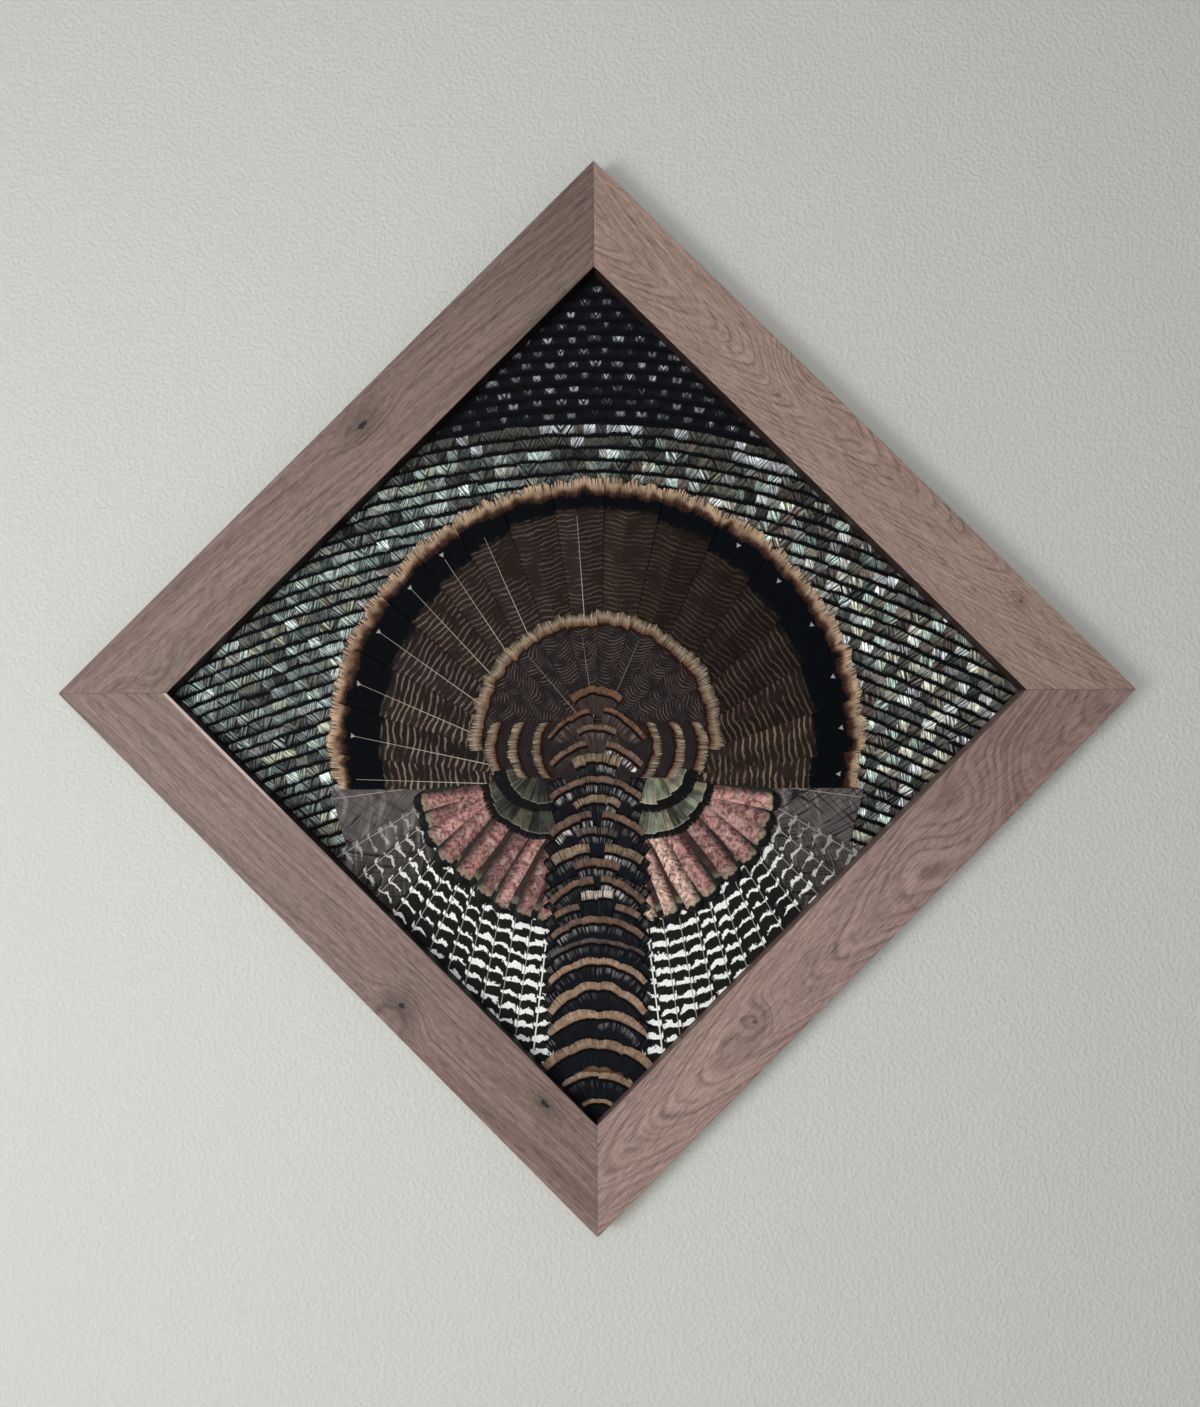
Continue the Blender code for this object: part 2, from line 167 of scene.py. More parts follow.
class Graph:
    """The nodes of one material around a Principled shader."""

    def __init__(self, name: str) -> None:
        """Starts a material with nothing but its shader.

        Args:
            name: The material's name.
        """
        self.material = bpy.data.materials.new(name)
        self.material.use_nodes = True
        self.tree = self.material.node_tree
        self.shader = self.tree.nodes["Principled BSDF"]

    def node(self, kind: str, settings: Mapping[str, object] | None = None,
             sockets: Mapping[str | int, Plug] | None = None) -> bpy.types.Node:
        """Adds a node.

        Args:
            kind: The node's type.
            settings: Its own properties, set before its sockets.
            sockets: What goes into its sockets, by name or number: a link or a constant.

        Returns:
            The node.
        """
        made = self.tree.nodes.new(kind)
        for name, value in (settings or {}).items():
            setattr(made, name, value)
        for key, value in (sockets or {}).items():
            self.plug(made.inputs[key], value)
        return made

    def plug(self, socket: Socket, value: Plug) -> None:
        """Links a socket, or sets it where the value is a constant.

        Args:
            socket: The socket to fill.
            value: A value, another socket, a number, a colour or a vector.
        """
        if isinstance(value, Value):
            self.tree.links.new(value.socket, socket)
        elif isinstance(value, Socket):
            self.tree.links.new(value, socket)
        elif socket.type == "RGBA":
            socket.default_value = (*value, 1.0)
        else:
            socket.default_value = value

    def math(self, operation: str, *terms: Number) -> Value:
        """Adds one Math node.

        Args:
            operation: What it works out.
            *terms: Its one or two terms.

        Returns:
            The result.
        """
        made = self.node("ShaderNodeMath", {"operation": operation}, dict(enumerate(terms)))
        return Value(self, made.outputs[0])

    def blend(self, share: Plug, first: Plug, second: Plug, mode: str = "MIX") -> Socket:
        """Mixes two colours.

        Args:
            share: How much of the second colour there is.
            first: The first colour.
            second: The second colour.
            mode: How they are mixed.

        Returns:
            The mixed colour.
        """
        made = self.node("ShaderNodeMix", {"data_type": "RGBA", "blend_type": mode},
                         {0: share, 6: first, 7: second})
        return made.outputs[2]

    def scaled(self, colour: Plug, amount: Number) -> Socket:
        """A colour made brighter or darker by a number."""
        made = self.node("ShaderNodeVectorMath", {"operation": "SCALE"}, {0: colour, "Scale": amount})
        return made.outputs[0]

    def vector(self, x: Number, y: Number, z: Number = 0.0) -> Socket:
        """Three numbers as one vector."""
        return self.node("ShaderNodeCombineXYZ", None, {0: x, 1: y, 2: z}).outputs[0]

    def parts(self, vector: Socket) -> tuple[Value, Value, Value]:
        """A vector's three numbers."""
        made = self.node("ShaderNodeSeparateXYZ", None, {0: vector})
        return tuple(Value(self, output) for output in made.outputs)

    def noise(self, vector: Plug, scale: float = 1.0, detail: float = 2.0, distortion: float = 0.0) -> Value:
        """Soft noise round 0.5.

        Args:
            vector: Where it is read.
            scale: How many lumps there are to a unit.
            detail: How many finer layers it has.
            distortion: How far it is drawn out of shape.

        Returns:
            The noise.
        """
        made = self.node("ShaderNodeTexNoise", None,
                         {"Vector": vector, "Scale": scale, "Detail": detail, "Distortion": distortion})
        return Value(self, made.outputs[0])

    def bumped(self, height: Value, distance: float, strength: float = 1.0) -> Socket:
        """The normal of a surface that this height, from 0 to 1, raises by this distance."""
        made = self.node("ShaderNodeBump", None,
                         {"Height": height, "Distance": distance, "Strength": strength})
        return made.outputs[0]

    def finish(self, **sockets: Plug) -> bpy.types.Material:
        """Fills the shader's sockets, named with _ for a space.

        Args:
            **sockets: What goes into each of them.

        Returns:
            The material.
        """
        for name, value in sockets.items():
            self.plug(self.shader.inputs[name.replace("_", " ")], value)
        return self.material


class VaneMap:
    """What a feather's finish reads from the mesh that it is on.

    Across and below are distances from the shaft and the tip, and mark is a draw of the feather's own. What
    amount, band, kind and nick say is up to each finish.
    """

    def __init__(self, graph: Graph) -> None:
        """Adds the nodes that read the map, the tint and the facts.

        Args:
            graph: The material's nodes.
        """
        self.graph = graph
        place = graph.node("ShaderNodeUVMap", {"uv_map": UV_NAME}).outputs[0]
        self.across, self.below, _ = graph.parts(place)
        self.out = abs(self.across)
        tint = graph.node("ShaderNodeAttribute", {"attribute_name": TINT_NAME})
        self.tint = tint.outputs["Color"]
        self.amount = Value(graph, tint.outputs["Alpha"])
        facts = graph.node("ShaderNodeAttribute", {"attribute_name": FACTS_NAME})
        self.mark, self.band, self.kind = graph.parts(facts.outputs["Color"])
        self.nick = Value(graph, facts.outputs["Alpha"])

    def barbs(self, rise: float = 1.0, fine: float = 900.0, long: float = 45.0) -> Value:
        """Fine lines along the barbs, which leave the shaft at a slant.

        Args:
            rise: How steeply the barbs climb towards the tip.
            fine: Lines to a metre.
            long: Breaks along a barb to a metre.

        Returns:
            Streaks round 0.5.
        """
        level = self.below + self.out * rise
        return self.graph.noise(self.graph.vector(level * fine, self.out * long, self.mark * 40), detail=1.0)

    def rays(self, fine: float = 1100.0, long: float = 40.0) -> Value:
        """Fine lines along the shaft, for barbs that have turned to the tip."""
        return self.graph.noise(self.graph.vector(self.across * fine, self.below * long, self.mark * 40),
                                detail=1.0)

    def mottle(self, scale: float, detail: float = 2.0) -> Value:
        """Lumps that are as wide as they are long."""
        return self.graph.noise(self.graph.vector(self.across, self.below, self.mark * 3), scale, detail)


@dataclass(frozen=True)
class FeatherFinish:
    """What all the feathers' finishes share: a dull vane whose relief is its barbs.

    Rise is how steeply the barbs climb, and fineness how many of them there are to a metre.
    """

    name: str
    roughness: float = 0.6
    gloss: float = 0.08
    relief: float = 0.00025
    rise: float = 1.0
    fineness: float = 900.0

    def colour(self, graph: Graph, vane: VaneMap) -> Socket:
        """The colour over the vane.

        Args:
            graph: The material's nodes.
            vane: What the mesh says at each point.

        Returns:
            The colour.
        """
        raise NotImplementedError

    def build(self) -> bpy.types.Material:
        """Makes the material.

        Returns:
            The material.
        """
        graph = Graph(self.name)
        vane = VaneMap(graph)
        barbs = vane.barbs(self.rise, self.fineness)
        return graph.finish(Base_Color=self.colour(graph, vane), Roughness=self.roughness,
                            Specular_IOR_Level=self.gloss, Normal=graph.bumped(barbs, self.relief))


@dataclass(frozen=True)
class TailFinish(FeatherFinish):
    """Brown with wavy bars, then a black band and a buff tip."""

    buff: Colour = seen(178, 152, 126)
    rust: Colour = seen(88, 62, 47)
    umber: Colour = seen(34, 22, 17)
    black: Colour = seen(6, 9, 13)
    brown: Colour = seen(37, 30, 27)
    bar: Colour = seen(152, 134, 120)
    white_mark: Colour = seen(150, 152, 150)
    tip_length: float = 0.0165
    umber_length: float = 0.0050
    bar_pitch: float = 0.0057

    def colour(self, graph: Graph, vane: VaneMap) -> Socket:
        """Lays the bars, the band and the tip over each other.

        Amount stretches the bars' pitch, kind is their strength, and nick puts small white marks in the band.

        Args:
            graph: The material's nodes.
            vane: What the mesh says at each point.

        Returns:
            The colour.
        """
        rays = vane.rays()
        lumps = vane.mottle(160.0)
        wander = vane.mottle(45.0, 1.0) * 0.010 + lumps * 0.003
        level = (vane.below + wander + vane.out * 0.12) * vane.amount / self.bar_pitch
        bars = level.wave().step(0.64, 1.0) * vane.mottle(50.0, 1.0).step(0.30, 0.62)
        colour = graph.blend(bars * vane.kind, self.brown, self.bar)
        colour = graph.blend(1.0, colour, vane.tint, "MULTIPLY")
        colour = graph.scaled(colour, vane.barbs(1.2, 700.0) * 0.9 + 0.55)
        edge = vane.below + (lumps - 0.5) * 0.012
        start = self.tip_length + self.umber_length
        colour = graph.blend(edge.step(vane.band + (start + 0.0060), vane.band + (start - 0.0030)),
                             colour, self.black)
        spot = vane.below + vane.out * 1.8
        nick = spot.step(start + 0.0125, start + 0.0110) * vane.below.step(start + 0.0055, start + 0.0070)
        colour = graph.blend(nick * vane.nick, colour, self.white_mark)
        ragged = vane.below + (rays - 0.5) * 0.008 + (vane.mottle(75.0) - 0.5) * 0.014
        freckle = vane.mottle(500.0, 1.0).step(0.40, 0.60)
        umber = graph.blend(freckle * 0.35, self.umber, self.rust)
        colour = graph.blend(ragged.within(start, 0.0015), colour, umber)
        tip = graph.blend((ragged / self.tip_length).step(0.25, 1.05), self.buff, self.rust)
        slit = vane.rays(540.0, 20.0).step(0.46, 0.36) * vane.below.step(0.0110, 0.0050) * 0.80
        fibres = vane.rays(1100.0, 25.0) * 0.8 + vane.mottle(70.0) * 1.0 + lumps * 0.4 - 0.10
        tip = graph.scaled(tip, fibres * (1.0 - slit))
        return graph.blend(ragged.step(self.tip_length + 0.0030, self.tip_length - 0.0040), colour, tip)


@dataclass(frozen=True)
class CovertFinish(FeatherFinish):
    """Dark brown with fine curved ridges, and a pale fringed tip."""

    pale: Colour = seen(154, 139, 119)
    rust: Colour = seen(104, 74, 56)
    # Dark for the line of painted shade inside the fringe.
    line: Colour = seen(24, 13, 11)
    brown: Colour = seen(35, 30, 30)
    ridge: Colour = seen(94, 82, 80)
    ridge_pitch: float = 0.0042

    def colour(self, graph: Graph, vane: VaneMap) -> Socket:
        """Lays the ridges, a dark line of painted shade and the fringe over each other.

        Band is the fringe's length, and kind the strength of the ridges.

        Args:
            graph: The material's nodes.
            vane: What the mesh says at each point.

        Returns:
            The colour.
        """
        rays = vane.rays(1500.0, 60.0)
        ragged = vane.below + (rays - 0.5) * 0.005 + (vane.mottle(170.0) - 0.5) * 0.006
        bend = vane.out * (vane.out * 22.0 + 0.15) + vane.mottle(45.0, 2.0) * 0.012
        level = (vane.below + bend) / self.ridge_pitch
        ridges = level.wave().step(0.50, 1.0) * vane.mottle(70.0, 1.0).step(0.30, 0.66)
        colour = graph.blend(ridges * vane.kind, self.brown, self.ridge)
        colour = graph.scaled(colour, vane.barbs(1.0, 700.0) * 1.0 + 0.5)
        # A dark line along the fringe's inner edge: painted shade.
        colour = graph.blend(ragged.step(vane.band + 0.0060, vane.band + 0.0010), colour, self.line)
        tip = graph.blend((ragged / vane.band).step(0.35, 1.0), self.pale, self.rust)
        tip = graph.blend(1.0, tip, vane.tint, "MULTIPLY")
        slits = vane.rays(850.0, 18.0)
        tip = graph.scaled(tip, slits.step(0.32, 0.48) * 0.66 + slits.step(0.52, 0.70) * 0.30 + 0.26)
        return graph.blend(ragged.within(vane.band, 0.0015), colour, tip)


@dataclass(frozen=True)
class BodyFinish(FeatherFinish):
    """Bronze green, or blue black with a glint where kind is 0, with a black edge to the tip that also holds
    painted shade between the rows.
    """

    black: Colour = seen(5, 6, 8)
    night: Colour = seen(12, 15, 22)
    rose: Colour = seen(128, 96, 92)
    straw: Colour = seen(152, 150, 126)
    glint_length: float = 0.0072

    def colour(self, graph: Graph, vane: VaneMap) -> Socket:
        """The vane's own tint, broken by its barbs.

        Amount says how far from the shaft the tint covers the vane, and band how long the black tip is,
        painted shade between the rows included.

        Args:
            graph: The material's nodes.
            vane: What the mesh says at each point.

        Returns:
            The colour.
        """
        barbs = vane.barbs(1.8, 380.0, 60.0)
        lumps = vane.mottle(230.0)
        fine = vane.barbs(1.2, 800.0, 60.0)
        streaks = barbs.step(0.38, 0.62) * 1.35 + fine.step(0.40, 0.62) * 0.35
        colour = graph.scaled(vane.tint, streaks * (lumps * 1.7 + 0.2) + 0.08)
        hue = vane.mottle(45.0, 1.0)
        colour = graph.blend(hue.step(0.62, 0.78) * 0.14 * vane.kind, colour, self.rose)
        colour = graph.blend(hue.step(0.38, 0.26) * 0.14 * vane.kind, colour, self.straw)
        slit = vane.barbs(1.3, 200.0, 20.0).step(0.40, 0.33)
        colour = graph.blend(slit * 0.90, colour, self.black)
        fade = vane.below.step(vane.band + self.glint_length, vane.band + self.glint_length * 0.45)
        glints = vane.barbs(2.4, 420.0, 90.0).step(0.42, 0.62) * fade
        covered = vane.out.within(vane.amount, 0.0015) * glints.largest(vane.kind)
        ground = graph.scaled(self.night, lumps * 1.8 + 0.1)
        colour = graph.blend(covered, ground, colour)
        shade = vane.below.step(vane.band + 0.0060, vane.band + 0.0110) * 0.62
        colour = graph.scaled(colour, 1.0 - shade)
        # The black tip: the feather's own black edge, widened by painted shade between the rows.
        edge = vane.below + (barbs - 0.5) * 0.0022
        return graph.blend(edge.within(vane.band, 0.0008), colour, self.black)


@dataclass(frozen=True)
class WingFinish(FeatherFinish):
    """Black and white bars, or grey with a dark net where kind is 0."""

    white: Colour = seen(236, 238, 234)
    black: Colour = seen(27, 28, 25)
    net: Colour = seen(22, 19, 19)
    light: Colour = seen(140, 134, 134)
    bar_pitch: float = 0.0165
    bar_end: float = 0.0165
    bar_fade: float = 0.0200

    def colour(self, graph: Graph, vane: VaneMap) -> Socket:
        """Lays ragged bars on the dark vane.

        Band is the share of the pitch that is white, and amount the strength of the bars.

        Args:
            graph: The material's nodes.
            vane: What the mesh says at each point.

        Returns:
            The colour.
        """
        wander = vane.mottle(90.0, 2.0) * 0.0105 + vane.mottle(420.0, 1.0) * 0.0036
        arch = vane.out * (0.62 - vane.out * 26.0)
        level = (vane.below - arch + wander) / self.bar_pitch + vane.mark * 7.0
        phase = graph.math("FRACT", level)
        thick = vane.band + (vane.mottle(120.0, 2.0) - 0.5) * 0.80 - vane.out * 3.0 + 0.03
        bars = phase.step(thick + 0.05, thick) * phase.step(0.0, 0.05)
        edge = vane.across + (vane.mottle(190.0, 1.0) - 0.5) * 0.009
        bars = bars * edge.step(self.bar_fade, self.bar_end)
        lumps = vane.mottle(60.0, 2.0)
        grey = graph.scaled(vane.tint, vane.barbs(1.0, 420.0, 30.0) * 0.9 + lumps * 1.1)
        sheen = vane.barbs(0.5, 120.0, 14.0).step(0.54, 0.72) * 0.60
        grey = graph.blend(sheen, grey, self.light)
        rising = abs(vane.barbs(1.3, 75.0, 6.0) - 0.5).step(0.024, 0.006)
        falling = abs(vane.barbs(-1.3, 75.0, 6.0) - 0.5).step(0.024, 0.006)
        grey = graph.blend(rising.largest(falling) * 0.90, grey, self.net)
        dark = graph.scaled(self.black, vane.barbs(1.0, 420.0, 30.0) * 0.9 + 0.55)
        ground = graph.blend(vane.kind, grey, dark)
        white = graph.scaled(self.white, vane.barbs(1.0, 500.0, 40.0) * 0.35 + 0.80)
        return graph.blend(bars * vane.amount, ground, white)


@dataclass(frozen=True)
class CopperFinish(FeatherFinish):
    """Mottled copper with painted highlights, painted shade along its edges and its inner edge, a pale end
    and a black tip.
    """

    dusk: Colour = seen(66, 34, 31)
    # The colour of the painted highlights.
    light: Colour = seen(220, 190, 180)
    pale: Colour = seen(138, 140, 112)
    slate: Colour = seen(36, 38, 33)
    black: Colour = seen(9, 12, 12)
    black_length: float = 0.0100
    pale_length: float = 0.0060
    slate_start: float = 0.0084
    slate_full: float = 0.0100

    def colour(self, graph: Graph, vane: VaneMap) -> Socket:
        """Lays painted highlights, painted shade, creases, the slate edge, the pale end and the black tip
        over the copper.

        Band is 1 where the inner edge is on the right, and -1 where it is on the left. Amount is the strength
        of the painted highlights.

        Args:
            graph: The material's nodes.
            vane: What the mesh says at each point.

        Returns:
            The colour.
        """
        marks = vane.mottle(210.0, 5.0).step(0.42, 0.62) * 0.76
        marks = marks.largest(vane.barbs(0.8, 260.0, 80.0).step(0.52, 0.66) * 0.46)
        colour = graph.blend(marks, vane.tint, self.dusk)
        # Painted highlights in soft patches.
        colour = graph.blend(vane.mottle(85.0, 4.0).step(0.50, 0.66) * 0.36 * vane.amount, colour, self.light)
        colour = graph.scaled(colour, vane.barbs(0.8, 520.0, 40.0) * 0.9 + 0.45)
        # Painted shade towards both long edges, for the rounded vane.
        colour = graph.scaled(colour, 1.0 - vane.out.step(0.0050, 0.0140) * 0.50)
        crease = abs(vane.barbs(1.0, 130.0, 12.0) - 0.5).step(0.026, 0.004)
        crease = crease * vane.mottle(60.0, 1.0).step(0.40, 0.55)
        colour = graph.blend(crease * 0.85, colour, self.dusk)
        # Painted shade along the inner edge.
        inner = vane.across * vane.band
        colour = graph.scaled(colour, 1.0 - inner.step(0.0010, 0.0095) * 0.60)
        ragged = vane.below + (vane.mottle(190.0) - 0.5) * 0.010
        end = self.black_length + self.pale_length
        pale = graph.scaled(self.pale, vane.barbs(0.8, 520.0, 40.0) * 0.9 + 0.45)
        colour = graph.blend(ragged.within(end, 0.0045) * 0.50, colour, pale)
        slate = graph.scaled(self.slate, vane.barbs(0.8, 420.0, 40.0) * 1.4 + 0.2)
        strip = inner + (vane.mottle(150.0) - 0.5) * 0.004 - vane.below * 0.05
        colour = graph.blend(strip.step(self.slate_start, self.slate_full), colour, slate)
        return graph.blend(ragged.within(self.black_length, 0.0010), colour, self.black)


@dataclass(frozen=True)
class GreenFinish(FeatherFinish):
    """Olive green with a pale combed edge and a black tip."""

    pale: Colour = seen(208, 204, 180)
    black: Colour = seen(4, 5, 5)

    def colour(self, graph: Graph, vane: VaneMap) -> Socket:
        """Brightens the tint in streaks towards the edge of the black tip.

        Band is the length of the black tip, and amount the strength of the pale edge above it.

        Args:
            graph: The material's nodes.
            vane: What the mesh says at each point.

        Returns:
            The colour.
        """
        rays = vane.rays(500.0, 50.0)
        edge = vane.below + (rays - 0.5) * 0.0018
        comb = rays.step(0.36, 0.74) * edge.step(vane.band + 0.0130, vane.band + 0.0005)
        lumps = vane.mottle(90.0)
        colour = graph.scaled(vane.tint, lumps * 1.8 + rays.step(0.34, 0.66) * 0.35 - 0.22)
        colour = graph.blend(comb * vane.amount, colour, self.pale)
        lip = edge.step(vane.band + 0.0020, vane.band + 0.0004) * (vane.amount * 0.6 + 0.12)
        colour = graph.blend(lip, colour, self.pale)
        crease = vane.rays(260.0, 12.0).step(0.36, 0.28)
        colour = graph.blend(crease * 0.7, colour, self.black)
        return graph.blend(edge.within(vane.band, 0.0003), colour, self.black)


@dataclass(frozen=True)
class RumpFinish(FeatherFinish):
    """Blue black with streaks of light, and a combed brown tip."""

    black: Colour = seen(15, 18, 23)
    line: Colour = seen(36, 15, 12)
    # Black for the painted shadow under each tip.
    slit: Colour = seen(3, 3, 4)
    umber: Colour = seen(56, 45, 42)

    def colour(self, graph: Graph, vane: VaneMap) -> Socket:
        """Lays the tip's comb, a thin red-brown line, a black line of painted shadow, painted shade on the
        tip's lower part and a glint over the dark vane.

        Amount is the glint below the tip, kind the depth of its comb, and nick how brown the rest is.

        Args:
            graph: The material's nodes.
            vane: What the mesh says at each point.

        Returns:
            The colour.
        """
        rays = vane.rays(900.0, 30.0)
        lumps = vane.mottle(200.0)
        edge = vane.below + (rays - 0.5) * 0.0014 + (lumps - 0.5) * 0.0030 + vane.out * vane.out * 4.0
        streak = vane.rays(480.0, 45.0)
        light = graph.scaled((1.0, 0.93, 0.92), streak.step(0.40, 0.70) * vane.amount)
        lit = vane.below + (vane.rays(260.0, 20.0) - 0.5) * 0.008
        zone = vane.below.step(vane.band + 0.0034, vane.band + 0.0048)
        zone = zone * lit.step(vane.band + 0.0130, vane.band + 0.0080)
        colour = graph.scaled(graph.blend(vane.nick, self.black, self.umber), streak * 2.0)
        colour = graph.blend(zone, colour, light, "ADD")
        # A black line under the tip: painted shadow.
        colour = graph.blend(edge.step(vane.band + 0.0036, vane.band + 0.0028), colour, self.slit)
        colour = graph.blend(edge.step(vane.band + 0.0014, vane.band + 0.0006), colour, self.line)
        comb = 1.0 - rays.step(0.50, 0.36) * vane.kind
        tip = graph.scaled(vane.tint, comb * (lumps * 1.4 + vane.rays(1100.0, 40.0) * 0.9 - 0.15))
        # The tip darkens towards its lower edge: painted shade.
        low = (vane.below / vane.band).step(0.55, 1.1) * 0.40
        tip = graph.scaled(tip, 1.0 - low)
        return graph.blend(edge.within(vane.band, 0.0004), colour, tip)


@dataclass(frozen=True)
class QuillFinish:
    """The shaft of a feather."""

    name: str
    colour: Colour
    roughness: float = 0.35

    def build(self) -> bpy.types.Material:
        """Makes a horny surface with faint streaks along it.

        Returns:
            The material.
        """
        graph = Graph(self.name)
        vane = VaneMap(graph)
        place = graph.vector(vane.across * 3000.0, vane.below * 60.0, vane.mark * 9)
        streaks = graph.noise(place, detail=1.0)
        return graph.finish(Base_Color=graph.scaled(self.colour, streaks * 0.5 + 0.72),
                            Roughness=self.roughness)


@dataclass(frozen=True)
class Knot:
    """A knot in a rail, or a whorl of the grain where its darkness is 0.

    Along and across place it from the middle of the picture. The core is the radius of its dark heart, and
    the spread how far it pushes the grain aside. Length stretches it along the rail.
    """

    along: float
    across: float
    core: float
    spread: float
    length: float = 1.0
    darkness: float = 1.0


@dataclass(frozen=True)
class Walnut:
    """Oiled walnut whose grain runs along one rail.

    The growth rings are shells round a pith that lies beside or behind the rail and isn't parallel to it,
    which draws straight lines on the left rails. On the right ones the shells also narrow along the trunk, by
    the taper, and the cut draws them as nested arches.
    """

    name: str
    turn: float
    light: Colour
    dark: Colour
    pith_across: float
    pith_behind: float
    pith_slant: float
    rings: float = 190.0
    taper: float = 0.0
    knots: tuple[Knot, ...] = ()
    shade_start: float = 0.0
    shade_end: float = 0.0
    contrast: float = 0.75
    line_depth: float = 0.22
    shade_depth: float = 0.24
    lit_start: float | None = None
    lit_share: float = 0.55
    lit_width: float = 0.0030
    lit_fade: float = 0.0052
    wander_width: float = 0.016
    whorl: float = 0.55
    # The colour of the rail's inner side face: painted shade.
    inner_face_shading: Colour = seen(12, 9, 9)
    lit: Colour = seen(222, 204, 190)
    heart: Colour = seen(26, 20, 19)

    def build(self) -> bpy.types.Material:
        """Makes the rail's material.

        Returns:
            The material.
        """
        graph = Graph(self.name)
        place = graph.node("ShaderNodeTexCoord").outputs["Object"]
        turned = graph.node("ShaderNodeMapping", None,
                            {"Vector": place, "Rotation": (0.0, -math.radians(self.turn), 0.0)}).outputs[0]
        along, deep, across = graph.parts(turned)
        wander = graph.noise(graph.vector(along * 5.0, deep * 20.0, across * 16.0), detail=2.0)
        away = across - self.pith_across + along * self.pith_slant
        behind = deep + self.pith_behind
        radius = (away * away + behind * behind) ** 0.5 + along * self.taper + wander * self.wander_width
        core: Value | float = 0.0
        for knot in self.knots:
            run = (along - knot.along) / knot.length
            rise = across - knot.across
            distance = (run * run + rise * rise) ** 0.5
            radius = radius + (distance / knot.spread).step(1.0, 0.0) * (knot.spread * self.whorl)
            rough = distance + (graph.noise(turned, 260.0) - 0.5) * (knot.core * 1.3)
            hole = rough.step(knot.core, knot.core * 0.55) * knot.darkness
            halo = (distance / knot.spread).step(0.75, 0.05) * (0.40 * knot.darkness)
            core = hole.largest(halo).largest(core)
        ring = graph.noise(graph.vector(radius * self.rings, along * 0.8, 0.0), detail=3.0)
        line = (radius * self.rings * 0.7 + ring * 0.6).wave().step(0.70, 1.0)
        line = line * graph.noise(graph.vector(along * 9.0, deep * 40.0, across * 60.0)).step(0.40, 0.62)
        fibre = graph.noise(graph.vector(along * 16.0, deep * 430.0, across * 430.0), detail=3.0)
        pore = graph.noise(graph.vector(along * 60.0, deep * 620.0, across * 620.0), detail=1.0)
        flecks = pore.step(0.56, 0.68)
        cloud = graph.noise(graph.vector(along * 4.0, deep * 14.0, across * 14.0), detail=3.0)
        colour = graph.blend(ring.step(0.34, 0.68) * self.contrast, self.light, self.dark)
        speckle = graph.noise(graph.vector(along * 130.0, deep * 700.0, across * 700.0), detail=2.0)
        colour = graph.scaled(colour, fibre * 0.70 + cloud * 0.50 + speckle * 0.90 - 0.04)
        colour = graph.scaled(colour, 1.0 - line * self.line_depth)
        colour = graph.scaled(colour, 1.0 - flecks * 0.30)
        if self.shade_end:
            shade = along.step(self.shade_start, self.shade_end) * self.shade_depth
            colour = graph.scaled(colour, 1.0 - shade)
        if self.knots:
            colour = graph.blend(core, colour, self.heart)
        if self.lit_start is not None:
            strip = across.step(INNER_HALF + self.lit_fade, INNER_HALF + self.lit_width)
            strip = strip * along.step(self.lit_start - 0.05, self.lit_start + 0.06) * self.lit_share
            colour = graph.blend(strip, colour, self.lit)
        # Painted shade on the inner side faces: near black on the left rails, dark brown on the upper right
        # and mid brown on the lower right.
        inner_face_shading = across.step(INNER_HALF + 0.0009, INNER_HALF + 0.0004)
        colour = graph.blend(inner_face_shading, colour, self.inner_face_shading)
        height = fibre * 0.6 + flecks * -0.4 + ring * 0.2
        return graph.finish(Base_Color=colour, Roughness=fibre * 0.20 + 0.42, Specular_IOR_Level=0.35,
                            Normal=graph.bumped(height, 0.00035))


@dataclass(frozen=True)
class BackingFinish:
    """Brown hardboard, pressed from fibres."""

    name: str
    colour: Colour

    def build(self) -> bpy.types.Material:
        """Makes the board's material.

        Returns:
            The material.
        """
        graph = Graph(self.name)
        place = graph.node("ShaderNodeTexCoord").outputs["Object"]
        clumps = graph.noise(place, 60.0, 4.0)
        fibres = graph.noise(place, 900.0, 2.0, 1.5)
        colour = graph.scaled(self.colour, clumps * 0.6 + fibres * 0.6 + 0.4)
        return graph.finish(Base_Color=colour, Roughness=0.78, Normal=graph.bumped(fibres, 0.0003))


@dataclass(frozen=True)
class Place:
    """Where a feather's tip is, the way it points and how it leans.

    The angle is in degrees from +X towards +Z. Depths count forwards from the picture's flat back. Sink is
    how fast the feather goes deeper towards its root, and roll how fast it rises towards its right edge.
    """

    x: float
    z: float
    angle: float
    depth: float
    sink: float = 0.0
    roll: float = 0.0

    def point(self, across: float, below: float, lift: float = 0.0) -> Vector:
        """A point of the feather.

        Args:
            across: How far it is to the right of the shaft, seen with the tip up.
            below: How far it is from the tip, down the shaft.
            lift: How far it stands out of the feather's plane.

        Returns:
            The point in the picture's own frame.
        """
        turn = math.radians(self.angle)
        x = self.x - math.cos(turn) * below + math.sin(turn) * across
        z = self.z - math.sin(turn) * below - math.cos(turn) * across
        depth = self.depth - self.sink * below + self.roll * across + lift
        return Vector((x, -depth, z))


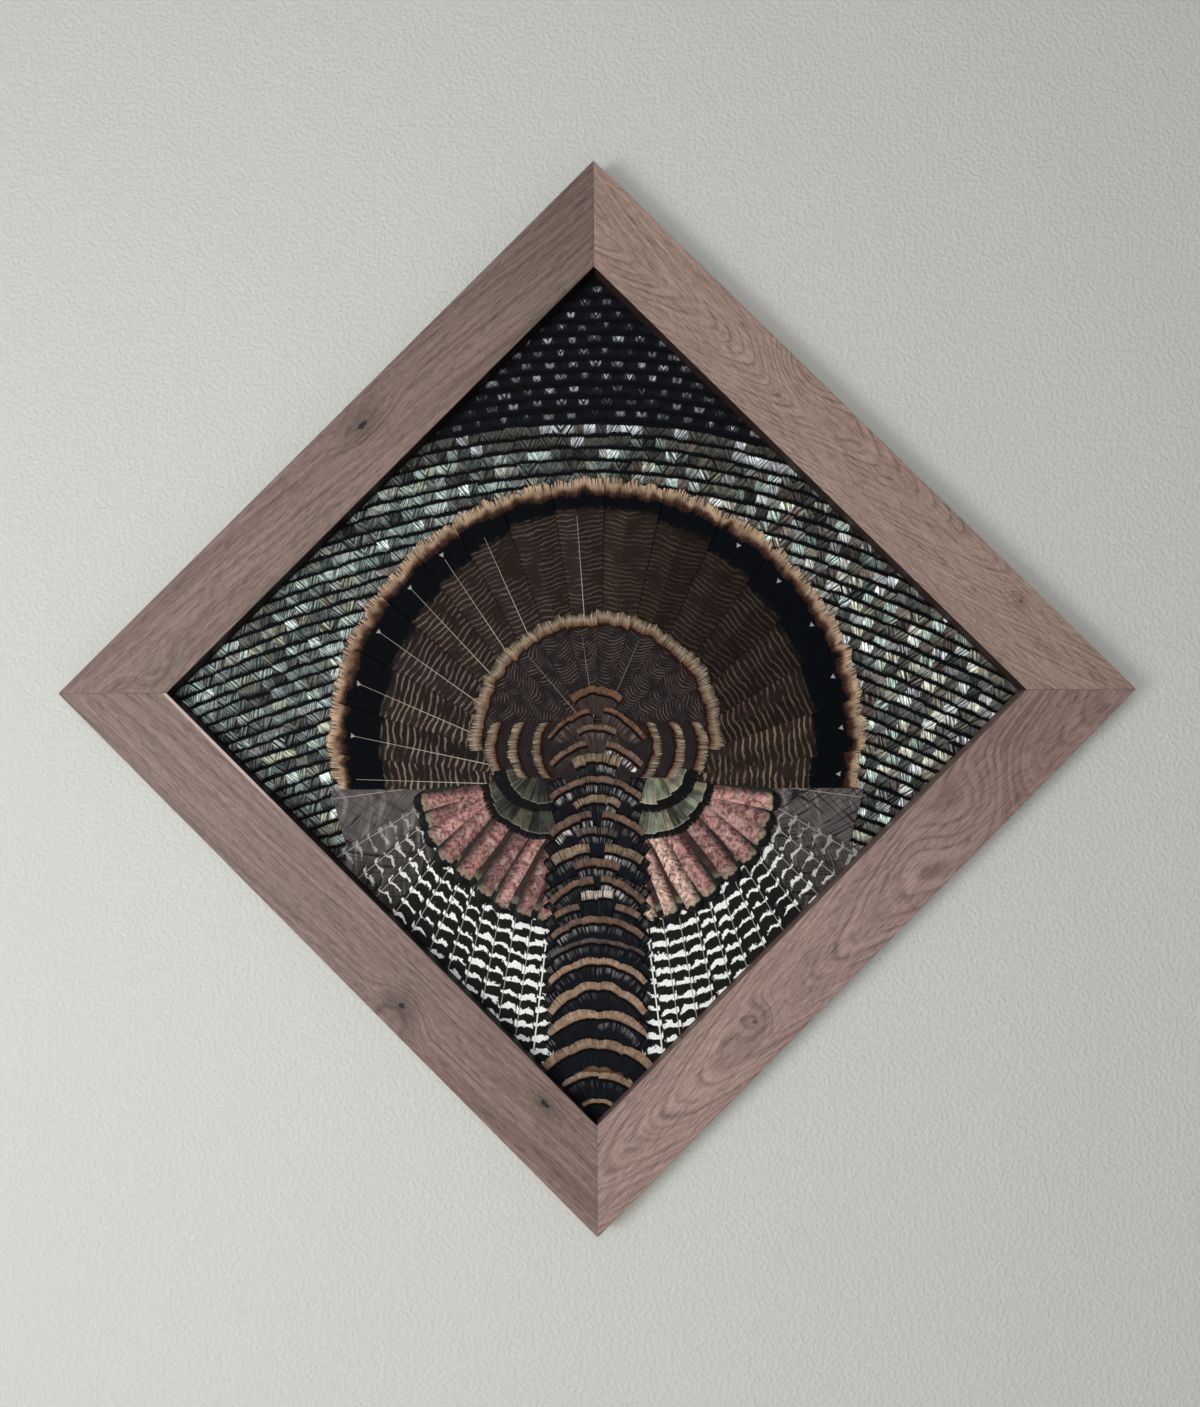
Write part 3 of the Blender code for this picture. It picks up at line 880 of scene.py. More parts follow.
@dataclass(frozen=True)
class Vane:
    """A feather's outline, relief and fringe. Widths are from the shaft to one edge.

    Shrink narrows the vane above the shoulder, and root and taper narrow it towards its lower end. Drop and
    the falls pull the tip down at its edges, lobe leaves a lobe on each side of the shaft, and wobble makes
    it uneven. Drop_reach says how far down the vane follows them. Camber and ripple raise the surface. Crowd
    gathers the rows at the tip. Ragged is how far barbs stray, and the partings are slits between them.
    """

    length: float
    width: float
    columns: int
    rows: int
    shoulder: float = 0.0080
    shrink: float = 0.15
    drop: float = 0.0030
    drop_reach: float = 0.0
    left_fall: float = 0.0
    right_fall: float = 0.0
    lobe: float = 0.0
    wobble: float = 0.0
    root: float = 0.40
    taper: float = 0.0100
    camber: float = 0.0006
    ripple: float = 0.0
    crowd: float = 1.5
    ragged: float = 0.0008
    parting: float = 0.30
    parting_length: float = 0.0050
    parting_gap: float = 0.8

    def half_widths(self, below: float) -> tuple[float, float]:
        """The vane's width on the left and on the right of the shaft, this far below the tip."""
        grown = self.root + (1 - self.root) * min(1.0, max(0.0, self.length - below) / self.taper)
        return self.width * grown, self.width * grown

    def form(self, place: Place, side: float, share: float, stray: float) -> Spot:
        """Places one vertex.

        Args:
            place: Where the feather is.
            side: How far across it is, from -1 at the left edge to 1 at the right one.
            share: How far down it is, from 0 at the tip to 1 at the root.
            stray: How far a loose barb has strayed along the feather.

        Returns:
            The point, its distance across and its distance below the tip.
        """
        below = self.length * share ** self.crowd
        left, right = self.half_widths(below)
        near_tip = max(0.0, 1 - below / self.shoulder)
        across = side * (left if side < 0 else right) * (1 - self.shrink * near_tip ** 2)
        lift = self.camber * (1 - side * side)
        spot = Vector((across * 60, below * 25, place.x * 31 + place.z * 17))
        if self.ripple:
            lift += self.ripple * noise.noise(spot)
        bow = across / max(left, right)
        fall = self.drop * bow * bow + self.lobe * (1 - abs(math.sin(math.pi * bow)))
        if self.wobble:
            fall += self.wobble * noise.noise(spot * 1.5)
        reach = max(0.0, 1 - below / (self.drop_reach or self.shoulder))
        slant = (self.left_fall if side < 0 else self.right_fall) * abs(side) * (1 - share)
        return place.point(across, below + fall * reach + slant + stray, lift), across, below


@dataclass(frozen=True)
class WedgeVane(Vane):
    """A vane that widens with its distance from the fan's centre, to meet its neighbours."""

    radius: float = 0.3
    left_spread: float = 0.1
    right_spread: float = 0.1
    overlap: float = 0.0013
    least: float = 0.0016

    def half_widths(self, below: float) -> tuple[float, float]:
        """The reach from the centre times the spread to each neighbour, and an overlap."""
        reach = self.radius - below
        return (max(self.least, reach * self.left_spread + self.overlap),
                max(self.least, reach * self.right_spread + self.overlap))


Form = Callable[[float, float, float], Spot]


@dataclass(frozen=True)
class Look:
    """What one feather passes to its finish: a tint for each half, and the facts that VaneMap reads."""

    left: Colour = (1.0, 1.0, 1.0)
    right: Colour = (1.0, 1.0, 1.0)
    amount: float = 1.0
    band: float = 0.0
    kind: float = 1.0
    nick: float = 0.0


class Plumage:
    """Feathers that are joined into one piece as they grow."""

    def __init__(self, name: str, finishes: Sequence[bpy.types.Material], seed: int) -> None:
        """Starts an empty piece.

        Args:
            name: The piece's name.
            finishes: Its materials: the vanes' first, then the quills'.
            seed: Where its random draws start.
        """
        self.name = name
        self.finishes = finishes
        self.chance = random.Random(seed)
        self.whole = bmesh.new()
        self.scratch = bpy.data.meshes.new("scratch")

    def _part_barbs(self, grid: bmesh.types.BMesh, vane: Vane) -> None:
        """Splits some of the seams between barbs, from the tip down.

        Args:
            grid: The flat grid that the feather is shaped from.
            vane: Says how many seams part, and how far.
        """
        cut_share = (vane.parting_length / vane.length) ** (1 / vane.crowd)
        seams = {round((number / vane.columns - 0.5) * 1e4) for number in range(1, vane.columns)
                 if self.chance.random() < vane.parting}
        edges = [edge for edge in grid.edges
                 if round(edge.verts[0].co.x * 1e4) == round(edge.verts[1].co.x * 1e4)
                 and round(edge.verts[0].co.x * 1e4) in seams
                 and all(0.5 - vertex.co.y < cut_share for vertex in edge.verts)]
        bmesh.ops.split_edges(grid, edges=edges)

    def grow(self, columns: int, rows: int, form: Form, look: Look, vane: Vane | None = None,
             finish: int = 0) -> None:
        """Adds one feather.

        Args:
            columns: Faces across it.
            rows: Faces along it.
            form: Takes a side, a share and a stray, and gives a point and its place on the map.
            look: What its finish reads.
            vane: Where it is given, the barbs at the tip part and stray as it says.
            finish: The number of its material.
        """
        grid = bmesh.new()
        bmesh.ops.create_grid(grid, x_segments=columns, y_segments=rows, size=0.5)
        if vane and vane.parting:
            self._part_barbs(grid, vane)
        grid.verts.index_update()
        mark = self.chance.random()
        spots: list[tuple[float, float]] = []
        halves = {face.index: face.calc_center_median().x < 0 for face in grid.faces}
        moved: list[Vector] = []
        for vertex in grid.verts:
            side, share = 2 * vertex.co.x, 0.5 - vertex.co.y
            stray = 0.0
            if vane and share < 0.5 / rows:
                stray = self.chance.uniform(-0.3, 1.0) * vane.ragged
            if vane and vane.parting and share < 0.999:
                middle = sum(face.calc_center_median().x for face in vertex.link_faces)
                middle = 2 * middle / len(vertex.link_faces)
                reach = max(0.0, 1 - vane.length * share ** vane.crowd / vane.parting_length)
                side += (middle - side) * vane.parting_gap * reach
            point, across, below = form(side, share, stray)
            moved.append(point)
            spots.append((across, below))
        for vertex, point in zip(grid.verts, moved):
            vertex.co = point
        self._dress(grid, spots, halves, mark, look, finish)
        grid.to_mesh(self.scratch)
        grid.free()
        self.whole.from_mesh(self.scratch)

    @staticmethod
    def _dress(grid: bmesh.types.BMesh, spots: Sequence[tuple[float, float]], halves: Mapping[int, bool],
               mark: float, look: Look, finish: int) -> None:
        """Writes the map, the tint and the facts on every corner.

        Args:
            grid: The feather's mesh.
            spots: Each vertex's place on the map.
            halves: Whether each face is on the left of the shaft.
            mark: The feather's own draw.
            look: Its tints and its facts.
            finish: The number of its material.
        """
        uv_layer = grid.loops.layers.uv.new(UV_NAME)
        tint_layer = grid.loops.layers.float_color.new(TINT_NAME)
        facts_layer = grid.loops.layers.float_color.new(FACTS_NAME)
        facts = (mark, look.band, look.kind, look.nick)
        left, right = (*look.left, look.amount), (*look.right, look.amount)
        for face in grid.faces:
            face.smooth = True
            face.material_index = finish
            tint = left if halves[face.index] else right
            for loop in face.loops:
                loop[uv_layer].uv = spots[loop.vert.index]
                loop[tint_layer] = tint
                loop[facts_layer] = facts

    def feather(self, vane: Vane, place: Place, look: Look) -> None:
        """Adds one feather with a vane of its own."""
        self.grow(vane.columns, vane.rows, lambda *spot: vane.form(place, *spot), look, vane)

    def quill(self, place: Place, start: float, end: float, width: float, finish: int = 1,
              rows: int = 8) -> None:
        """Adds a shaft, as a low ridge that thins towards the tip.

        Args:
            place: Where the feather is.
            start: How far below the tip the shaft starts.
            end: How far below the tip it ends.
            width: From its middle to its edge, at the thick end.
            finish: The number of its material.
            rows: Faces along it.
        """
        def form(side: float, share: float, stray: float) -> Spot:
            """A point of the ridge, thinner towards the tip."""
            below = start + (end - start) * share
            across = side * width * (0.35 + 0.65 * share)
            return place.point(across, below, width * (1.3 - 1.6 * side * side)), across, below

        self.grow(4, rows, form, Look(), finish=finish)

    def clip(self) -> None:
        """Trims the feathers along the inner edges of the rails."""
        half = INNER_HALF - EDGE_CLEARANCE
        for x_way in (-1, 1):
            for z_way in (-1, 1):
                outward = Vector((x_way, 0.0, z_way)).normalized()
                bmesh.ops.bisect_plane(
                    self.whole, geom=self.whole.verts[:] + self.whole.edges[:] + self.whole.faces[:],
                    plane_co=outward * half, plane_no=outward, clear_outer=True)

    def piece(self, nodes: Sequence[str]) -> bpy.types.Object:
        """Makes the object.

        Args:
            nodes: The CAD nodes that it stands for.

        Returns:
            The object, riding on the root body.
        """
        mesh = bpy.data.meshes.new(self.name)
        self.whole.to_mesh(mesh)
        self.whole.free()
        bpy.data.meshes.remove(self.scratch)
        for finish in self.finishes:
            mesh.materials.append(finish)
        made = bpy.data.objects.new(self.name, mesh)
        bpy.context.scene.collection.objects.link(made)
        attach(made, "root")
        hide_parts(*nodes)
        LOG.info("%s: %d faces", self.name, len(mesh.polygons))
        return made


def between_knots(knots: Sequence[tuple[float, float]], value: float) -> float:
    """Reads a line drawn through knots.

    Args:
        knots: Pairs of a value and what it gives, in order.
        value: Where the line is read.

    Returns:
        The height of the line there.
    """
    for (low, first), (high, last) in zip(knots, knots[1:]):
        if value <= high:
            return first + (last - first) * (value - low) / (high - low)
    return knots[-1][1]


@dataclass
class Rails:
    """The four mitred rails, which keep their CAD shape and get their grain and their painted light and shade
    here.
    """

    # Lit and shaded copies of one walnut: painted shade on the left rails, painted light on the right ones.
    shaded_light: Colour = seen(128, 109, 101)
    shaded_dark: Colour = seen(103, 84, 76)
    lit_light: Colour = seen(152, 129, 118)
    lit_dark: Colour = seen(122, 99, 89)
    most_lit_light: Colour = seen(156, 131, 124)
    most_lit_dark: Colour = seen(112, 90, 84)

    def walnuts(self) -> Mapping[str, Walnut]:
        """Gives the finish of each rail.

        Returns:
            The walnuts, by the name of the rail's node.
        """
        return {
            "rail_upper_left": Walnut(
                name="walnut_upper_left", turn=-45, light=self.shaded_light, dark=self.shaded_dark,
                pith_across=0.30, pith_behind=0.10, pith_slant=0.10, rings=150.0,
                knots=(Knot(along=0.030, across=0.427, core=0.0045, spread=0.034, length=2.2),
                       Knot(along=-0.356, across=0.392, core=0.0060, spread=0.040, length=1.3,
                            darkness=0.35)),
                shade_start=0.05, shade_end=0.45),
            "rail_upper_right": Walnut(
                name="walnut_upper_right", turn=45, light=self.lit_light, dark=self.lit_dark,
                pith_across=0.432, pith_behind=0.060, pith_slant=-0.09, rings=270.0, taper=0.22,
                knots=(Knot(along=0.286, across=0.436, core=0.0025, spread=0.020, length=1.4, darkness=0.7),
                       Knot(along=-0.090, across=0.452, core=0.0001, spread=0.050, length=1.7,
                            darkness=0.0)),
                contrast=0.50, line_depth=0.34, inner_face_shading=seen(48, 34, 30)),
            "rail_lower_left": Walnut(
                name="walnut_lower_left", turn=-135, light=self.shaded_light, dark=self.shaded_dark,
                pith_across=0.34, pith_behind=0.05, pith_slant=-0.05, rings=170.0,
                knots=(Knot(along=-0.1005, across=0.4282, core=0.0046, spread=0.046, length=1.2),
                       Knot(along=-0.3025, across=0.3899, core=0.0035, spread=0.020, length=2.6)),
                lit_start=0.17),
            "rail_lower_right": Walnut(
                name="walnut_lower_right", turn=135, light=self.most_lit_light, dark=self.most_lit_dark,
                pith_across=0.424, pith_behind=0.070, pith_slant=0.04, rings=250.0, taper=0.17,
                knots=(Knot(along=0.1456, across=0.4112, core=0.0028, spread=0.030, length=1.6,
                            darkness=0.75),
                       Knot(along=-0.217, across=0.418, core=0.0001, spread=0.060, length=1.8,
                            darkness=0.0)),
                shade_start=0.05, shade_end=-0.40, contrast=0.60, line_depth=0.28,
                inner_face_shading=seen(112, 92, 84)),
        }

    def dress(self) -> None:
        """Gives each rail its walnut."""
        for node, walnut in self.walnuts().items():
            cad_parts[node].material_slots[0].material = walnut.build()
            LOG.info("%s: walnut", node)


@dataclass
class Board:
    """The backing board, which keeps its CAD shape."""

    finish: BackingFinish = BackingFinish("hardboard", seen(128, 98, 72))

    def dress(self) -> None:
        """Gives the board its fibres."""
        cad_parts["backing_board"].material_slots[0].material = self.finish.build()
        LOG.info("backing_board: hardboard")


@dataclass
class BodyFeathers:
    """The rows of body feathers that cover the board round the fan."""

    row_count: int = 46
    row_pitch: float = 0.0155
    top_z: float = 0.5210
    curve_width: float = 0.4900
    slope_left: float = 0.56
    slope_right: float = 0.70
    feather_pitch: float = 0.0285
    half_span: float = 0.5300
    depth: float = 0.0128
    sink: float = 0.13
    roll: float = 0.010
    fan_centre_z: float = -0.1153
    hidden_radius: float = 0.2900
    hidden_below_z: float = -0.2300
    first_green_row: float = 14.2
    last_black_row: float = 12.6
    last_dim_row: float = 20.0
    dim_rows: float = 9.0
    highlight_start_x: float = 0.03
    whole_vane: float = 0.03
    vane: Vane = Vane(length=0.0250, width=0.0168, columns=14, rows=8, shoulder=0.0060, shrink=0.03,
                      drop=0.0020, root=0.75, camber=0.0009, ragged=0.0009, parting=0.25,
                      parting_length=0.0045, parting_gap=0.5)
    jitter: float = 0.0022
    drift: tuple[float, float] = (-0.0014, 0.0012)
    depth_jitter: float = 0.0002
    lean_jitter: float = 2.5
    night: Colour = seen(18, 21, 27)
    glint: Colour = seen(196, 202, 206)
    smoke: Colour = seen(84, 84, 78)
    leaf: tuple[Colour, ...] = (seen(126, 136, 130), seen(140, 152, 144), seen(188, 202, 194),
                                seen(150, 154, 136), seen(112, 120, 118), seen(132, 132, 128),
                                seen(122, 138, 134), seen(100, 108, 106), seen(144, 156, 154))
    # Pale vane tints that carry a painted highlight.
    highlight_tints: tuple[Colour, ...] = (seen(200, 222, 212), seen(228, 234, 228), seen(180, 204, 192),
                                seen(200, 200, 184), seen(196, 202, 204))
    bark: tuple[Colour, ...] = (seen(104, 102, 92), seen(138, 134, 120), seen(118, 108, 100),
                                seen(92, 96, 90), seen(80, 86, 82), seen(122, 124, 122))
    rust: Colour = seen(98, 84, 78)
    smoke_glint_chance: float = 0.30
    shaded_chance: float = 0.28
    rust_chance: float = 0.06
    dull_chance: float = 0.26
    swap_chance: float = 0.30
    shaded: float = 0.5
    near_black: float = 0.36

    def row_drop(self, x: float) -> float:
        """How far a row has fallen at x below its crown on the centre line."""
        slope = self.slope_left if x < 0 else self.slope_right
        return slope * (math.hypot(self.curve_width, x) - self.curve_width)

    def row_slope(self, x: float) -> float:
        """How steeply a row falls outwards at x, as a change of z over x."""
        slope = self.slope_left if x < 0 else self.slope_right
        return -slope * x / math.hypot(self.curve_width, x)

    def is_hidden(self, x: float, z: float) -> bool:
        """Whether a feather would lie wholly under the others or the rails.

        Args:
            x: How far its tip is from the centre line.
            z: How high its tip is.

        Returns:
            True where it can be left out.
        """
        reach = INNER_HALF * math.sqrt(2) + self.vane.length + self.vane.width
        if abs(x) + abs(z) > reach or z < self.hidden_below_z:
            return True
        above = z - self.fan_centre_z
        return abs(x) < self.hidden_radius and math.hypot(x, max(above, 0.0)) < self.hidden_radius

    def look(self, row: int, x: float, chance: random.Random) -> Look:
        """Chooses a feather's colours, with painted highlights and painted shade on its two vanes.

        Args:
            row: Its row, counted from the top.
            x: How far it is from the centre line.
            chance: Where the draws come from.

        Returns:
            The look of the feather.
        """
        # The black tip's length, painted shade between the rows included.
        edge = chance.uniform(0.0044, 0.0062)
        level = row + chance.uniform(-0.5, 0.5)
        if level < self.last_black_row:
            lit = 0.18 + 0.72 * chance.random()
            shares = [lit * chance.uniform(0.4, 1.2) for _ in range(2)]
            tints = [between(self.night, self.glint, share) for share in shares]
            return Look(tints[0], tints[1], chance.uniform(0.0035, 0.0070), edge, 0.0)
        if level < self.first_green_row:
            tints = [self.glint if chance.random() < self.smoke_glint_chance else self.smoke
                     for _ in range(2)]
            return Look(tints[0], tints[1], self.vane.width * 1.2, edge, 0.6)
        dim = chance.uniform(0.75, 1.15)
        if chance.random() < (self.last_dim_row - level) / self.dim_rows:
            dim *= self.near_black
        if x < self.highlight_start_x:
            tints = [chance.choice(self.leaf) for _ in range(2)]
            if chance.random() < self.shaded_chance:
                dim *= self.shaded
            # The left vane is painted lighter and the right one darker: painted light and shade.
            dims = [dim * chance.uniform(0.8, 1.5), dim * chance.uniform(0.5, 1.0)]
            return Look(dimmed(tints[0], dims[0]), dimmed(tints[1], dims[1]), self.whole_vane, edge, 1.0)
        # One vane gets a pale tint with a painted highlight, the other a dull one without it.
        pale, dull = chance.choice(self.highlight_tints), chance.choice(self.bark)
        if chance.random() < self.dull_chance:
            pale = chance.choice(self.bark)
        if chance.random() < self.rust_chance:
            dull = self.rust
        if chance.random() < self.swap_chance:
            pale, dull = dull, pale
        dims = [dim * chance.uniform(0.65, 1.6) for _ in range(2)]
        return Look(dimmed(pale, dims[0]), dimmed(dull, dims[1]), self.whole_vane, edge, 0.7)

    def build(self) -> None:
        """Lays the rows from the top down."""
        finish = BodyFinish("bronze_body_feathers", gloss=0.06, rise=0.8)
        plumage = Plumage("body_feather_rows", [finish.build()], 11)
        chance = plumage.chance
        count = int(self.half_span / self.feather_pitch)
        for row in range(self.row_count):
            crown = self.top_z + self.row_pitch - row * self.row_pitch
            for number in range(-count, count + 1):
                x = (number + 0.5 * (row % 2)) * self.feather_pitch + chance.uniform(-1, 1) * self.jitter
                z = crown - self.row_drop(x) + chance.uniform(*self.drift)
                if self.is_hidden(x, z):
                    continue
                lean = math.degrees(math.atan(self.row_slope(x)))
                lean += chance.uniform(-self.lean_jitter, self.lean_jitter)
                depth = self.depth + chance.uniform(-self.depth_jitter, self.depth_jitter)
                place = Place(x + CENTRE_X, z, 90 + lean, depth, self.sink, self.roll)
                plumage.feather(self.vane, place, self.look(row, x, chance))
        plumage.clip()
        plumage.piece(["body_feathers"])


@dataclass
class TailFan:
    """The spread tail, one piece for each feather."""

    centre_z: float = -0.1153
    shaft_angles: tuple[float, ...] = (2.9, 13.4, 24.8, 36.8, 48.3, 59.4, 71.2, 83.5, 94.0, 104.0, 114.1,
                                       123.6, 133.0, 144.4, 156.4, 168.0, 178.0)
    side_radius: float = 0.3190
    extra_at_top: float = 0.0600
    depth: float = 0.0158
    roll: float = math.sin(math.radians(2.5))
    quill_radius: float = 0.0600
    side_band: float = 0.0435
    top_band: float = 0.0150
    first_pale_quill: int = 8
    white_marked: tuple[int, ...] = (0, 1, 2, 3, 4, 5, 11, 12, 13, 14, 15)
    # Brightness of each feather's halves: painted light on the left half, painted shade on the right.
    lit_and_shaded_halves: tuple[float, float] = (1.15, 0.85)
    right_shade: float = 0.42
    right_warmth: float = 1.04
    bars_at_top: float = 0.14
    right_bars: float = 0.38
    left_bars: float = 0.48
    left_bars_more: float = 0.06
    wider_bars: float = 0.28
    pale_quill_start: float = 0.0480
    pale_quill_rise: float = 0.0180
    dark_quill_start: float = 0.0600
    pale_quill_width: float = 0.0008
    dark_quill_width: float = 0.0006

    def radius(self, angle: float) -> float:
        """How far from the centre a feather at this angle reaches."""
        return self.side_radius + self.extra_at_top * max(math.sin(math.radians(angle)), 0.0) ** 0.85

    def fall(self, angle: float, slope: float) -> float:
        """How far a feather's tip falls at its edge to meet the fan's outline there.

        Args:
            angle: The angle of its shaft.
            slope: The slope of that edge away from the shaft, negative towards smaller angles.

        Returns:
            The fall.
        """
        turn = math.atan(slope)
        return self.radius(angle) - self.radius(angle + math.degrees(turn)) * math.cos(turn)

    def spreads(self, index: int) -> tuple[float, float]:
        """Gives the slopes of a feather's edges away from its shaft.

        Args:
            index: Which feather it is, counted from the right.

        Returns:
            The slope of its left edge, then of its right one.
        """
        angles = self.shaft_angles
        angle = angles[index]
        above = angles[index + 1] if index + 1 < len(angles) else 2 * 180 - angle
        under = angles[index - 1] if index else -angle
        return math.tan(math.radians(above - angle) / 2), math.tan(math.radians(angle - under) / 2)

    def build(self) -> None:
        """Makes the feathers from right to left."""
        vanes = TailFinish("barred_tail_feathers", roughness=0.7, gloss=0.04).build()
        pale = QuillFinish("pale_quill", seen(196, 188, 172)).build()
        dark = QuillFinish("dark_quill", seen(52, 44, 39)).build()
        for index, angle in enumerate(self.shaft_angles):
            plumage = Plumage(f"tail_feather_{index + 1:02d}_vane", [vanes, pale, dark], 100 + index)
            chance = plumage.chance
            left, right = self.spreads(index)
            radius = self.radius(angle)
            turn = math.radians(angle)
            place = Place(CENTRE_X + radius * math.cos(turn), self.centre_z + radius * math.sin(turn),
                          angle, self.depth, 0.0, self.roll)
            vane = WedgeVane(length=radius - self.quill_radius, width=0.0, columns=56, rows=34,
                             shoulder=0.0240, shrink=0.02, drop=chance.uniform(0.0, 0.0030),
                             drop_reach=0.0450, left_fall=self.fall(angle, left),
                             right_fall=self.fall(angle, -right), lobe=chance.uniform(0.0010, 0.0040),
                             wobble=0.0070, camber=0.0, ripple=0.0004, crowd=1.8, ragged=0.0036,
                             parting=0.40, parting_length=0.0130, parting_gap=1.0, radius=radius,
                             left_spread=left, right_spread=right, overlap=0.0020)
            upright = abs(math.sin(turn)) ** 6
            tone = chance.uniform(0.88, 1.12)
            warm = chance.uniform(0.96, 1.06)
            is_right = index < self.first_pale_quill
            side_bars, more_bars = self.left_bars, self.left_bars_more
            if is_right:
                tone *= 1.0 - self.right_shade * math.sin(2 * turn) ** 2
                warm *= self.right_warmth
                side_bars, more_bars = self.right_bars, 0.0
            # The left half is painted lighter and the right half darker: painted light and shade.
            tints = [tuple(share * part for part in (tone * warm, tone, tone / warm))
                     for share in self.lit_and_shaded_halves]
            bars = self.bars_at_top + side_bars * abs(math.cos(turn)) ** 4 + more_bars
            look = Look(tints[0], tints[1], 1.0 - self.wider_bars * (1 - upright) ** 2,
                        self.side_band + (self.top_band - self.side_band) * upright,
                        bars * chance.uniform(0.8, 1.1), 1.0 if index in self.white_marked else 0.0)
            plumage.feather(vane, place, look)
            is_pale = index >= self.first_pale_quill and index != self.first_pale_quill + 1
            start, width, finish = self.dark_quill_start, self.dark_quill_width, 2
            if is_pale:
                start = self.pale_quill_start - self.pale_quill_rise * (1 - upright)
                width, finish = self.pale_quill_width, 1
            plumage.quill(place, start, radius - self.quill_radius, width, finish)
            plumage.piece([f"tail_feather_{index + 1:02d}"])


@dataclass
class TailCoverts:
    """The ring of coverts over the fan's middle, one piece for each feather."""

    count: int = 12
    centre_z: float = -0.0547
    radius: float = 0.1547
    first_angle: float = -5.7
    last_angle: float = 185.7
    root_radius: float = 0.0240
    depth: float = 0.0193
    roll: float = math.sin(math.radians(3.0))
    band: float = 0.0165
    ridges: float = 0.75
    quilled: tuple[int, ...] = (4, 6, 8)
    quill_start: float = 0.0260
    quill_width: float = 0.0006

    def build(self) -> None:
        """Makes the coverts from right to left."""
        finish = CovertFinish("fringed_coverts", roughness=0.7, gloss=0.04).build()
        pale = QuillFinish("covert_quill", seen(150, 142, 132)).build()
        pitch = (self.last_angle - self.first_angle) / self.count
        spread = math.tan(math.radians(pitch) / 2)
        for index in range(self.count):
            angle = self.first_angle + (index + 0.5) * pitch
            plumage = Plumage(f"tail_covert_{index + 1:02d}_vane", [finish, pale], 200 + index)
            turn = math.radians(angle)
            reach = self.radius + plumage.chance.uniform(-0.0025, 0.0030)
            place = Place(CENTRE_X + reach * math.cos(turn), self.centre_z + reach * math.sin(turn), angle,
                          self.depth, 0.0, self.roll)
            vane = WedgeVane(length=reach - self.root_radius, width=0.0, columns=34, rows=26,
                             shoulder=0.0100, shrink=0.02, drop=plumage.chance.uniform(0.0010, 0.0040),
                             drop_reach=0.0400, lobe=plumage.chance.uniform(0.0, 0.0020), wobble=0.0055,
                             camber=0.0003, ripple=0.0003, crowd=1.7, ragged=0.0048, parting=0.75,
                             parting_length=0.0105, parting_gap=0.9, radius=reach, left_spread=spread,
                             right_spread=spread, overlap=0.0012, least=0.0011)
            tone = plumage.chance.uniform(0.85, 1.12)
            look = Look((tone,) * 3, (tone,) * 3, 1.0, self.band, self.ridges)
            plumage.feather(vane, place, look)
            if index in self.quilled:
                plumage.quill(place, self.quill_start, reach - self.root_radius, self.quill_width)
            plumage.piece([f"tail_covert_{index + 1:02d}"])


class Side(Enum):
    """The two sides of the picture, and the way each of them lies from the centre line."""

    LEFT = -1
    RIGHT = 1

    def angle(self, below: float) -> float:
        """The angle of a direction that points outwards, this many degrees below the horizontal."""
        return -below if self is Side.RIGHT else 180 + below


